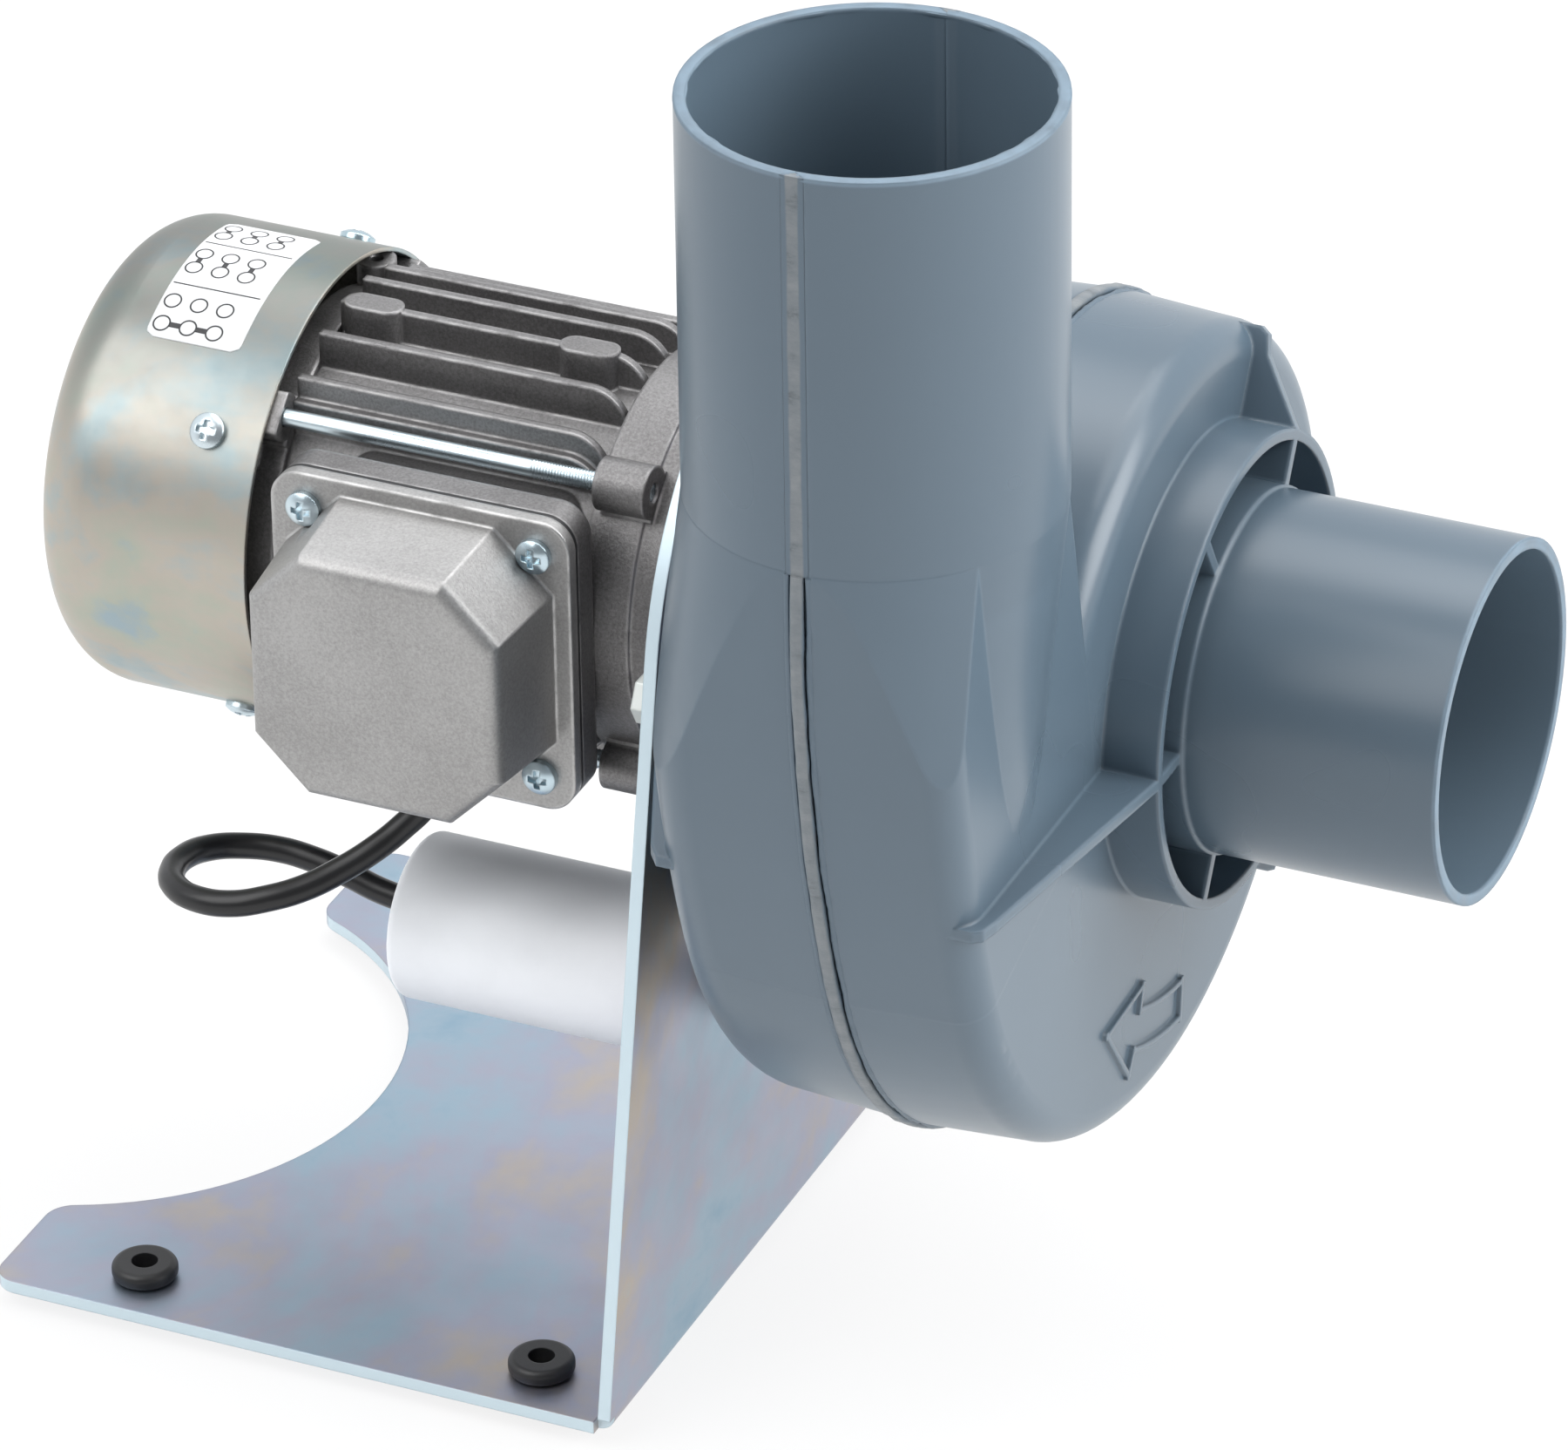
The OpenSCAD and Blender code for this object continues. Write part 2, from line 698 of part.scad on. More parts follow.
// The inlet side that stands on the front face
module inlet_parts() {
    fillet_r = 4;
    on_shaft() {
        disc(front_x - over, ring_x + spigot_root, inlet_r + spigot_root);
        disc(ring_x, inlet_x, inlet_r);
        translate([0, 0, front_x]) rotate_extrude() difference() {
            translate([inlet_r - over, -over]) square([fillet_r + over, fillet_r + over]);
            translate([inlet_r + fillet_r, fillet_r]) circle(r = fillet_r);
        }
        tube(front_x - over, ring_x, ring_r, ring_r - ring_wall);
        for (a = rib_angles) front_rib(a);
        for (a = concat(rib_angles, web_angles)) web(a);
    }
    rotation_arrow();
}

module casing_front_shell() {
    color(casing_colour) difference() {
        union() {
            difference() {
                scroll_body(0, 1);
                scroll_body(wall);
            }
            inlet_parts();
            on_shaft() disc(eye_x + 2, front_x - over, nozzle_r);
        }
        on_shaft() disc(eye_x, inlet_x + over, inlet_r - wall);
    }
}

module casing_rear_shell() {
    boss_r = 6;
    color(casing_colour) difference() {
        union() {
            scroll_body(0, -1);
            on_shaft() {
                tube(sheet_t, rear_x + collar_reach, collar_r, collar_r - ring_wall);
                at_angles(rib_angles, bolt_circle_r) disc(sheet_t, rear_x + collar_reach, boss_r);
                for (a = rear_rib_angles) rear_rib(a);
            }
        }
        scroll_body(wall);
        on_shaft() {
            disc(rear_x - over, seam_x, hub_hole_r);
            at_angles(rib_angles, bolt_circle_r) disc(0, rear_x - 1.5, bolt_r + 0.05);
        }
    }
}

module casing_bolts() {
    head_h = 4;
    color("#d5dade") on_shaft() at_angles(rib_angles, bolt_circle_r) {
        translate([0, 0, -head_h]) hexagon(10, head_h);
        disc(-tiny, bolt_l, bolt_r);
    }
}

// Impeller

// One curved blade, from the hub side out to the rim
module blade() {
    r_in = 27;
    r_out = wheel_r - 0.5;
    c = 46;
    r = blade_curve_r;
    a_in = acos((c * c + r * r - r_in * r_in) / (2 * c * r));
    a_out = acos((c * c + r * r - r_out * r_out) / (2 * c * r));
    translate([c, 0, wheel_x + plate_t - tiny]) rotate([0, 0, 180 - a_out])
        rotate_extrude(angle = a_out - a_in)
        translate([r - blade_t / 2, 0]) square([blade_t, blade_w + 2 * tiny]);
}

module impeller() {
    hub_back_x = 6;
    hub_front_x = shaft_tip_x + 6;
    color("#5f6f78") on_shaft() difference() {
        union() {
            disc(wheel_x, wheel_x + plate_t, wheel_r);
            disc(hub_back_x, wheel_x + plate_t, hub_r);
            translate([0, 0, wheel_x + plate_t - tiny]) cylinder(h = 12, r1 = 24, r2 = hub_r + 2);
            tube(eye_x, eye_x + plate_t, wheel_r, eye_r);
            for (k = [0:blade_count - 1]) rotate([0, 0, k * 360 / blade_count]) blade();
        }
        disc(hub_back_x - over, shaft_tip_x, shaft_end_r);
        disc(shaft_tip_x - over, hub_front_x, m4_r + 0.2);
        disc(hub_front_x, wheel_x + plate_t + 12 + over, 8);
    }
}

module impeller_washer() {
    color(steel_colour) on_shaft() tube(shaft_tip_x + 6, shaft_tip_x + 7.2, 6, m4_r + 0.2);
}

module impeller_screw() {
    head_x = shaft_tip_x + 7.2;
    color(steel_colour) on_shaft() {
        disc(shaft_tip_x - 12, head_x + tiny, m4_r);
        translate([0, 0, head_x]) hexagon(7, 3);
    }
}

// Motor

// A fin along the shaft, standing in the direction of Y, with a rounded front end
module fin(offset, top, thick) {
    translate([offset - thick / 2, 0, 0]) rotate([90, 0, 90]) linear_extrude(thick) difference() {
        translate([housing_r / 2, housing_x0]) square([top - housing_r / 2, housing_l]);
        translate([top, -shield_l]) mirror([1, 0]) mirror([0, 1]) corner_cut(fin_end_r);
    }
}

module fin_row() {
    for (k = [-2.5:1:2.5]) {
        offset = k * fin_pitch;
        fin(offset, sqrt(fin_r * fin_r - offset * offset), fin_t);
    }
    // The outermost fins stand on a thicker ledge
    for (side = [-1, 1]) {
        offset = side * (2.5 * fin_pitch + fin_t * 0.8);
        fin(offset, sqrt(fin_r * fin_r - offset * offset) - 3.5, fin_t * 1.6);
    }
}

// Flat-topped pad cast on a fin for fastening
module pad(x) {
    l = 14;
    w = 7;
    translate([x, -6, housing_r * 0.8]) linear_extrude(50.4 - housing_r * 0.8) {
        square([l - w, w], center = true);
        for (s = [-1, 1]) translate([s * (l - w) / 2, 0]) circle(d = w);
    }
}

// A block with rounded upright edges, standing along -Y from the shaft
module box_block(half, y0, y1, r) {
    translate([box_x, y0, 0]) rotate([90, 0, 0]) linear_extrude(y0 - y1) {
        square([2 * half, 2 * (half - r)], center = true);
        square([2 * (half - r), 2 * half], center = true);
        for (x = [-1, 1], z = [-1, 1]) translate([x, z] * (half - r)) circle(r = r);
    }
}

module at_lid_screws() {
    for (x = [-1, 1], z = [-1, 1])
        translate([box_x + x * lid_screw_pitch / 2, 0, z * lid_screw_pitch / 2]) children();
}

module motor_housing() {
    bore_r = housing_r - housing_wall;
    color(alloy_colour) difference() {
        union() {
            on_shaft() disc(housing_x0, -shield_l, housing_r);
            for (a = [90, 0, 270]) rotate([a - 90, 0, 0]) rotate([0, 0, 90]) rotate([90, 0, 0])
                fin_row();
            for (x = [-92, -40]) pad(x);
            box_block(box_half, -neck_y, -box_y, lid_corner_r);
            box_block(neck_half, -20, -neck_y - over, lid_corner_r);
            translate([gland_x, gland_y, -box_half]) cylinder(h = 12, r = gland_r);
        }
        on_shaft() disc(housing_x0 - over, -shield_l + over, bore_r);
        difference() {
            union() {
                box_block(box_half - box_wall, -neck_y - box_wall, -box_y - over, lid_corner_r - 2);
                box_block(neck_half - box_wall, -floor_y, -box_y, lid_corner_r - 2);
            }
            at_lid_screws() rotate([90, 0, 0]) cylinder(h = box_y + 2, r = 5);
        }
        translate([box_x, -30, 0]) rotate([90, 0, 0]) cylinder(h = 30, r = 9);
        at_lid_screws() translate([0, -box_y + 9, 0]) rotate([90, 0, 0])
            cylinder(h = 9 + over, r = m4_r + 0.05);
        translate([gland_x, gland_y, -box_half - over]) cylinder(h = 20, r = 5);
    }
}

module drive_end_shield() {
    seam = -13.5;
    boss_r = 6;
    color(alloy_colour) difference() {
        on_shaft() {
            disc(-shield_l, seam - 0.3, shield_r);
            disc(-shield_l, -2, shield_r - 0.7);
            disc(-shield_l, 0, shield_r - 3);
            disc(-over, sheet_t - 0.6, spigot_r);
            at_angles(rod_angles, rod_circle_r) disc(-24, -12, boss_r);
            at_angles(rod_angles, rod_circle_r - 6) translate([-3, -boss_r, -24])
                cube([6, 2 * boss_r, 12]);
        }
        on_shaft() {
            disc(-shield_l - over, front_bearing_x, 36);
            disc(front_bearing_x - over, front_bearing_x + bearing_w, bearing_r);
            disc(front_bearing_x, sheet_t, bearing_bore_r + 1.5);
            at_angles(rod_angles, rod_circle_r) disc(-24 - over, -12 + over, rod_r + 0.05);
            at_angles(rod_angles, motor_screw_circle_r) disc(-11, over, motor_screw_r + 0.05);
        }
    }
}

module rear_end_shield() {
    inner = cowl_r - cowl_t - fit;
    boss_r = 4.5;
    color(alloy_colour) difference() {
        union() {
            on_shaft() intersection() {
                union() {
                    disc(rear_shield_x, housing_x0, shield_r - 2);
                    at_angles(rod_angles, rod_circle_r) disc(rear_shield_x, housing_x0, 5.5);
                    at_angles(rod_angles, rod_circle_r - 7) translate([-4, -5.5, rear_shield_x])
                        cube([7, 11, rear_shield_l]);
                    at_angles(cowl_screw_angles, 36) translate([0, -boss_r, cowl_screw_x - boss_r])
                        cube([inner - 36 + 2, 2 * boss_r, rear_shield_x - cowl_screw_x + boss_r + 2]);
                }
                disc(cowl_screw_x - 20, housing_x0 + over, inner);
            }
            on_shaft() disc(rear_bearing_x - 2, housing_x0, bearing_r + 4);
            translate([housing_x0 - 4.5, 20.5, 36]) cylinder(h = 10, r = 4.5);
        }
        on_shaft() {
            disc(rear_bearing_x, housing_x0 + over, bearing_r);
            disc(rear_bearing_x - 2 - over, rear_bearing_x + over, bearing_bore_r + 1.5);
            disc(rear_shield_x + 3, housing_x0 + over, 36);
            at_angles(rod_angles, rod_circle_r) disc(rear_shield_x + 1, housing_x0 + over, rod_r + 0.05);
            at_angles(cowl_screw_angles, 0) translate([inner - 9, 0, cowl_screw_x])
                rotate([0, 90, 0]) cylinder(h = 9 + over, r = m4_r + 0.05);
        }
        translate([housing_x0 - 4.5, 20.5, 40]) cylinder(h = 10, r = 1.6);
    }
}

module tie_rods() {
    color(steel_colour) on_shaft() at_angles(rod_angles, rod_circle_r)
        disc(rear_shield_x + 1.5, -12.5, rod_r);
}

// The cowl's sheet as a profile: its wall, rounded corner and end, g inside the outer face
module cowl_profile(g) {
    x_end = cowl_x - cowl_l;
    e = cowl_corner_r - g;
    r = cowl_r - g;
    translate([0, x_end + g]) square([r - e, cowl_l]);
    translate([0, x_end + g + e]) square([r, cowl_l - e]);
    translate([r - e, x_end + g + e]) circle(r = e);
}

module fan_cowl() {
    x_end = cowl_x - cowl_l;
    slot_w = 3.4;
    slot_rows = [10, 17, 24, 31];
    color("#aab4ac") on_shaft() difference() {
        rotate_extrude() intersection() {
            difference() {
                cowl_profile(0);
                cowl_profile(cowl_t);
            }
            translate([0, x_end - over]) square([cowl_r + over, cowl_l + over]);
        }
        for (r = slot_rows, k = [0:3])
            rotate([0, 0, k * 90 + 300 / r]) rotate_extrude(angle = 90 - 600 / r)
                translate([r, x_end - over]) square([slot_w, cowl_t + 2 * over]);
        at_angles(cowl_screw_angles, 0) translate([cowl_r - 4, 0, cowl_screw_x])
            rotate([0, 90, 0]) cylinder(h = 8, r = m4_r + 0.25);
    }
}

module cowl_screws() {
    color(steel_colour) on_shaft() at_angles(cowl_screw_angles, 0)
        translate([cowl_r - 0.15, 0, cowl_screw_x]) rotate([0, 90, 0]) {
            translate([0, 0, -8]) cylinder(h = 8 + 0.5, r = m4_r);
            pan_head(m4_head_r, 2.7);
        }
}

module stator_core() {
    color("#6d6f72") on_shaft() tube(core_x, core_x + core_l, housing_r - housing_wall, rotor_r + air_gap);
}

module stator_windings() {
    l = 9;
    color("#a8562a") on_shaft() for (x = [core_x - l, core_x + core_l])
        translate([0, 0, x]) rotate_extrude() {
            translate([rotor_r + 3, 2]) square([12, l - 4]);
            translate([rotor_r + 5, 0]) square([8, l]);
            for (r = [5, 13], z = [2, l - 2]) translate([rotor_r + r, z]) circle(r = 2);
        }
}

// Ball bearing: rings with a round groove, and eight balls between them
ball_r = (bearing_r - bearing_bore_r) * 0.27;
ball_circle_r = (bearing_r + bearing_bore_r) / 2;

module bearing_ring(x, r_in, r_out) {
    translate([0, 0, x]) rotate_extrude() difference() {
        translate([r_in, 0]) square([r_out - r_in, bearing_w]);
        translate([ball_circle_r, bearing_w / 2]) circle(r = ball_r + fit);
    }
}

module bearing_outer(x) {
    color("silver") on_shaft() bearing_ring(x, ball_circle_r + ball_r * 0.6, bearing_r);
}

module bearing_inner(x) {
    color("silver") on_shaft() bearing_ring(x, bearing_bore_r, ball_circle_r - ball_r * 0.6);
}

module bearing_balls(x) {
    color("gainsboro") on_shaft() at_angles([0:45:315], ball_circle_r)
        translate([0, 0, x + bearing_w / 2]) sphere(r = ball_r);
}

module front_bearing_outer_ring() { bearing_outer(front_bearing_x); }
module front_bearing_inner_ring() { bearing_inner(front_bearing_x); }
module front_bearing_balls() { bearing_balls(front_bearing_x); }
module rear_bearing_outer_ring() { bearing_outer(rear_bearing_x); }
module rear_bearing_inner_ring() { bearing_inner(rear_bearing_x); }
module rear_bearing_balls() { bearing_balls(rear_bearing_x); }

module bearing_wave_washer() {
    x = rear_bearing_x + bearing_w;
    color("silver") on_shaft() tube(x, x + 0.6, bearing_r - 0.3, bearing_r - 3);
}

// Terminal box lid

// Side view of the hump: sloping sides and rounded top edges
module hump_side(foot, top, h, e) {
    slope = atan2(foot - top, h);
    cx = foot - (e + (h - e) * sin(slope)) / cos(slope);
    side_x = cx + e * cos(slope);
    side_y = h - e + e * sin(slope);
    polygon([[-foot, 0], [foot, 0], [side_x, side_y], [cx, h], [-cx, h], [-side_x, side_y]]);
    for (s = [-1, 1]) translate([s * cx, h - e]) circle(r = e);
}

// Octagonal hump: four rounded side views cross each other; g lies inside the outer face
module hump(g) {
    corner = 0.785 * sqrt(2);
    e = 3.5;
    intersection_for (k = [0:3]) {
        scale_k = k % 2 == 0 ? 1 : corner;
        rotate([0, 0, 45 * k]) rotate([90, 0, 0]) translate([0, 0, -60]) linear_extrude(120)
            hump_side(hump_foot * scale_k - g, hump_top * scale_k - g, hump_h - g, e - g);
    }
}

module terminal_box_lid() {
    hollow = 2.6;
    color("#b3b3b1") difference() {
        union() {
            box_block(box_half, lid_y, screw_plane_y, lid_corner_r);
            translate([hump_x, screw_plane_y + tiny, 0]) rotate([90, 0, 0]) hump(0);
        }
        translate([hump_x, screw_plane_y + tiny, 0]) rotate([90, 0, 0]) hump(hollow);
        box_block(hump_top - hollow - 4, lid_y + over, screw_plane_y - tiny, 6);
        at_lid_screws() rotate([90, 0, 0]) {
            translate([0, 0, -lid_y - over]) cylinder(h = lid_t + 2 * over, r = m4_r + 0.25);
            translate([0, 0, -screw_plane_y]) cylinder(h = hump_h, r = m4_head_r + 0.3);
        }
    }
}

module terminal_box_gasket() {
    color("#202020") difference() {
        box_block(box_half, -box_y, lid_y, lid_corner_r);
        box_block(box_half - 3, -box_y + over, lid_y - over, lid_corner_r - 2);
    }
}

module terminal_lid_screws() {
    color(steel_colour) at_lid_screws() translate([0, screw_plane_y, 0]) rotate([90, 0, 0]) {
        pan_head(m4_head_r, 2.8);
        translate([0, 0, -lid_screw_l]) cylinder(h = lid_screw_l + 0.5, r = m4_r);
    }
}

module at_studs() {
    for (x = stud_xs, z = stud_zs) translate([box_x + x, -floor_y, z]) rotate([90, 0, 0]) children();
}

module terminal_block() {
    color("#3a2c20") difference() {
        translate([box_x - block_l / 2, -floor_y - block_h, -block_w / 2]) cube([block_l, block_h, block_w]);
        at_studs() cylinder(h = block_h + over, r = stud_r + 0.05);
    }
}

module terminal_studs() {
    sunk = 3;
    color("#c9a44a") at_studs() translate([0, 0, block_h - sunk - 3]) {
        cylinder(h = stud_l, r = stud_r);
        translate([0, 0, 2 * sunk]) hexagon(5.5, 2.6);
    }
}

module cable_grommet() {
    color("#161616") translate([gland_x, gland_y, -box_half]) mirror([0, 0, 1]) difference() {
        union() {
            translate([0, 0, -3]) cylinder(h = 4, r = 4.95);
            cylinder(h = 2, r = gland_r - 0.5);
            translate([0, 0, 2]) cylinder(h = gland_l - 2, r1 = 6, r2 = 4.6);
        }
        translate([0, 0, -4]) cylinder(h = gland_l + 5, r = lead_d / 2 + lead_clearance);
    }
}

// Capacitor

module capacitor_can() {
    e = 2;
    color("#e4e5e7") translate([0, cap_y, cap_z]) on_shaft() {
        translate([0, 0, -cap_foot_l - cap_l]) rotate_extrude() {
            square([cap_r - e, cap_l]);
            translate([0, e]) square([cap_r, cap_l - 2 * e]);
            for (z = [e, cap_l - e]) translate([cap_r - e, z]) circle(r = e);
        }
        disc(-cap_foot_l - tiny, 0, 9);
    }
}

module capacitor_stud() {
    color("#d0d4d8") translate([0, cap_y, cap_z]) on_shaft() disc(0, 15, 4);
}

module capacitor_washer() {
    color(steel_colour) translate([0, cap_y, cap_z]) on_shaft() tube(sheet_t, sheet_t + 1.5, 8, 4.2);
}

module capacitor_nut() {
    color(steel_colour) translate([0, cap_y, cap_z]) on_shaft() difference() {
        translate([0, 0, sheet_t + 1.5]) hexagon(13, 6.2);
        disc(sheet_t, 14, 4);
    }
}

// The lead: a tube swept along its points
function between(p, k, t) = let (
        n = len(p) - 1,
        a = p[max(k - 1, 0)],
        b = p[k],
        c = p[min(k + 1, n)],
        d = p[min(k + 2, n)]
    )
    0.5 * (2 * b + (c - a) * t + (2 * a - 5 * b + 4 * c - d) * t * t + (3 * b - a - 3 * c + d) * t * t * t);
lead_path = [for (k = [0:len(lead_points) - 2], t = [0, 0.5]) between(lead_points, k, t),
    lead_points[len(lead_points) - 1]];

function unit(v) = v / norm(v);

module capacitor_lead() {
    sides = 10;
    n = len(lead_path);
    rings = [for (k = [0:n - 1])
        let (
            ahead = unit(lead_path[min(k + 1, n - 1)] - lead_path[max(k - 1, 0)]),
            out = unit(cross(ahead, [0.3, 0.9, 0.2])),
            up = cross(out, ahead)
        )
        for (s = [0:sides - 1])
            lead_path[k] + lead_d / 2 * (out * cos(360 * s / sides) + up * sin(360 * s / sides))];
    skin = [for (k = [0:n - 2], s = [0:sides - 1])
        [k * sides + s, k * sides + (s + 1) % sides, (k + 1) * sides + (s + 1) % sides, (k + 1) * sides + s]];
    caps = [[for (s = [sides - 1:-1:0]) s], [for (s = [0:sides - 1]) (n - 1) * sides + s]];
    color("#141414") polyhedron(rings, concat(skin, caps));
}

// Rotor

module motor_shaft() {
    shoulder = bearing_bore_r + 1;
    color("silver") on_shaft() difference() {
        union() {
            disc(fan_x - 4, rear_bearing_x, bearing_bore_r - 1);
            disc(rear_bearing_x - tiny, rear_bearing_x + bearing_w + tiny, bearing_bore_r);
            disc(rear_bearing_x + bearing_w, front_bearing_x, shoulder);
            disc(front_bearing_x - tiny, -5, bearing_bore_r);
            disc(-6, shaft_tip_x, shaft_end_r);
        }
        disc(shaft_tip_x - 14, shaft_tip_x + over, m4_r + 0.05);
        translate([0, 0, fan_x - 2.5]) tube(0, 1.2, 8, bearing_bore_r - 1.8);
    }
}

module rotor_core() {
    color("#77797c") on_shaft() tube(core_x, core_x + core_l, rotor_r, bearing_bore_r + 1);
}

module rotor_end_rings() {
    l = 6;
    color("#b9babc") on_shaft() for (x = [core_x - l, core_x + core_l])
        tube(x, x + l, rotor_r - 1.5, rotor_r - 8);
}

module cooling_fan() {
    r = cowl_r - cowl_t - 7;
    color("#20242a") on_shaft() difference() {
        union() {
            disc(fan_x, fan_x + fan_w, 10);
            disc(fan_x + fan_w - 2, fan_x + fan_w, r - 6);
            for (k = [0:7]) rotate([0, 0, k * 45])
                translate([8, -0.9, fan_x]) cube([r - 8, 1.8, fan_w]);
        }
        disc(fan_x - over, fan_x + fan_w + over, bearing_bore_r - 1);
    }
}

module cooling_fan_clip() {
    color("silver") on_shaft() tube(fan_x - 2.4, fan_x - 1.4, 8.5, bearing_bore_r - 1.75);
}

module motor_mounting_screws() {
    color(steel_colour) on_shaft() at_angles(rod_angles, motor_screw_circle_r) {
        translate([0, 0, sheet_t]) pan_head(4.7, 3.4);
        disc(-9, sheet_t + 0.5, motor_screw_r);
    }
}

// Everything above is drawn from the shaft; this sets it on the floor over the foot holes
module place() {
    translate([origin_x, 0, shaft_h]) children();
}

place() base_bracket();
place() foot_grommets();
place() casing_front_shell();
place() casing_rear_shell();
place() weld_bead();
place() casing_bolts();
place() motor_mounting_screws();
place() motor_housing();
place() drive_end_shield();
place() rear_end_shield();
place() tie_rods();
place() fan_cowl();
place() cowl_screws();
place() stator_core();
place() stator_windings();
place() front_bearing_outer_ring();
place() rear_bearing_outer_ring();
place() bearing_wave_washer();
place() terminal_box_gasket();
place() terminal_box_lid();
place() terminal_lid_screws();
place() terminal_block();
place() terminal_studs();
place() cable_grommet();
place() capacitor_can();
place() capacitor_stud();
place() capacitor_washer();
place() capacitor_nut();
place() capacitor_lead();
place() motor_shaft();
place() rotor_core();
place() rotor_end_rings();
place() front_bearing_inner_ring();
place() rear_bearing_inner_ring();
place() front_bearing_balls();
place() rear_bearing_balls();
place() cooling_fan();
place() cooling_fan_clip();
place() impeller();
place() impeller_washer();
place() impeller_screw();
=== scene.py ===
import math

import bmesh
import bpy
from mathutils import Matrix, Vector, noise


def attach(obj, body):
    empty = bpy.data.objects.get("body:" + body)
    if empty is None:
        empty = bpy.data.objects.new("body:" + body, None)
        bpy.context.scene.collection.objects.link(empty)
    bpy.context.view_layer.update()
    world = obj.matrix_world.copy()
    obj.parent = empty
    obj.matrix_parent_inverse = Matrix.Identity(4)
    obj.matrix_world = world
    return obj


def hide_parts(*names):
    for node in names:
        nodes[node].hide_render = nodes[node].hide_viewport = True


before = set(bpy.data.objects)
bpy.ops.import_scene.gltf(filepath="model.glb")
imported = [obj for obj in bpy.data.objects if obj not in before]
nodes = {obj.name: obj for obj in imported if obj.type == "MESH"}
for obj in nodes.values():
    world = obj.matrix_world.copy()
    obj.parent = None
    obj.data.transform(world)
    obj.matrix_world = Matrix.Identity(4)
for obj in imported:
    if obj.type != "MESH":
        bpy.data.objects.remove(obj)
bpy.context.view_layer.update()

# The row frame's origin is on the floor; the shaft lies at this height and the upright at this X
SHAFT_Z = 0.169
UPRIGHT_X = 0.069


def at_shaft(x, y, z):
    """A point given in millimetres from the shaft at the upright, in metres in the row frame."""
    return Vector((x / 1000 + UPRIGHT_X, y / 1000, z / 1000 + SHAFT_Z))


# Camera: where it stands, in the frame of at_shaft, and how it is turned
CAMERA_PLACE = (801.94, -1769.13, 1104.07)
AZIMUTH = math.radians(24.33)
ELEVATION = math.radians(30.479)
ROLL = math.radians(-0.863)
LENS = 234.87
SENSOR_WIDTH = 36


def make_camera():
    """A long lens that looks down at the inlet's side."""
    back = Vector((math.sin(AZIMUTH) * math.cos(ELEVATION), -math.cos(AZIMUTH) * math.cos(ELEVATION),
                   math.sin(ELEVATION)))
    right = (-back).cross(Vector((0, 0, 1))).normalized()
    up = right.cross(-back)
    rolled_right = right * math.cos(ROLL) + up * math.sin(ROLL)
    rolled_up = up * math.cos(ROLL) - right * math.sin(ROLL)
    data = bpy.data.cameras.new("camera")
    data.lens = LENS
    data.sensor_width = SENSOR_WIDTH
    data.sensor_fit = "HORIZONTAL"
    data.clip_start = 0.1
    data.clip_end = 50
    camera = bpy.data.objects.new("camera", data)
    bpy.context.scene.collection.objects.link(camera)
    turn = Matrix((rolled_right, rolled_up, back)).transposed().to_4x4()
    camera.matrix_world = Matrix.Translation(at_shaft(*CAMERA_PLACE)) @ turn
    bpy.context.scene.camera = camera


make_camera()

# The lead, from the terminal box to the end of the capacitor, in the frame of at_shaft
LEAD_POINTS = (
    (-60.5, -45.5, -31), (-60.5, -45.5, -39), (-62.7, -46.8, -47), (-67.7, -50.3, -53.2),
    (-73, -55, -57.9), (-79, -60, -61.8), (-84.9, -65.1, -64.5), (-91.7, -69.5, -66.3),
    (-99.3, -72, -68), (-107.4, -71.9, -68.9), (-114.7, -68.3, -69.6), (-119.3, -61.6, -70.5),
    (-120.4, -53.5, -71.3), (-118.1, -45.7, -72.7), (-112.5, -39.9, -74.1), (-104.9, -36.9, -75),
    (-97, -36, -76.3), (-89, -35.9, -78.1), (-81.2, -36, -80.4), (-73.1, -36, -81.8),
)
LEAD_D = 0.006


def make_lead():
    """The lead as one round curve through LEAD_POINTS."""
    curve = bpy.data.curves.new("lead", "CURVE")
    curve.dimensions = "3D"
    # The radius sits in the points, because Blender's box of a curve counts each point's radius
    curve.bevel_depth = 1.0
    curve.bevel_resolution = 5
    curve.resolution_u = 8
    curve.use_fill_caps = True
    spline = curve.splines.new("BEZIER")
    spline.bezier_points.add(len(LEAD_POINTS) - 1)
    for point, place in zip(spline.bezier_points, LEAD_POINTS):
        point.co = at_shaft(*place)
        point.handle_left_type = "AUTO"
        point.handle_right_type = "AUTO"
        point.radius = LEAD_D / 2
    lead = bpy.data.objects.new("lead", curve)
    bpy.context.scene.collection.objects.link(lead)
    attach(lead, "frame")
    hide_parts("capacitor_lead")
    return lead


lead = make_lead()


# Meshes that are built in code
SHARP_ANGLE = math.radians(50)


def make_object(name, verts, faces, replaces):
    """A closed mesh with smooth faces and sharp edges, which rides the frame."""
    mesh = bpy.data.meshes.new(name)
    mesh.from_pydata([tuple(v) for v in verts], [], faces)
    mesh.update()
    bm = bmesh.new()
    bm.from_mesh(mesh)
    bmesh.ops.recalc_face_normals(bm, faces=bm.faces)
    bm.to_mesh(mesh)
    bm.free()
    for polygon in mesh.polygons:
        polygon.use_smooth = True
    mesh.set_sharp_from_angle(angle=SHARP_ANGLE)
    made = bpy.data.objects.new(name, mesh)
    bpy.context.scene.collection.objects.link(made)
    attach(made, "frame")
    if replaces:
        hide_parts(replaces)
    return made


def skin(verts, faces, rings, closed=False):
    """Adds a skin over rings of equal length; closed joins the last ring to the first."""
    first = len(verts)
    size = len(rings[0])
    for ring in rings:
        verts.extend(ring)
    count = len(rings)
    for k in range(count if closed else count - 1):
        a = first + k * size
        b = first + (k + 1) % count * size
        for j in range(size):
            faces.append((a + j, a + (j + 1) % size, b + (j + 1) % size, b + j))
    if not closed:
        faces.append(tuple(range(first + size - 1, first - 1, -1)))
        faces.append(tuple(range(first + (count - 1) * size, first + count * size)))


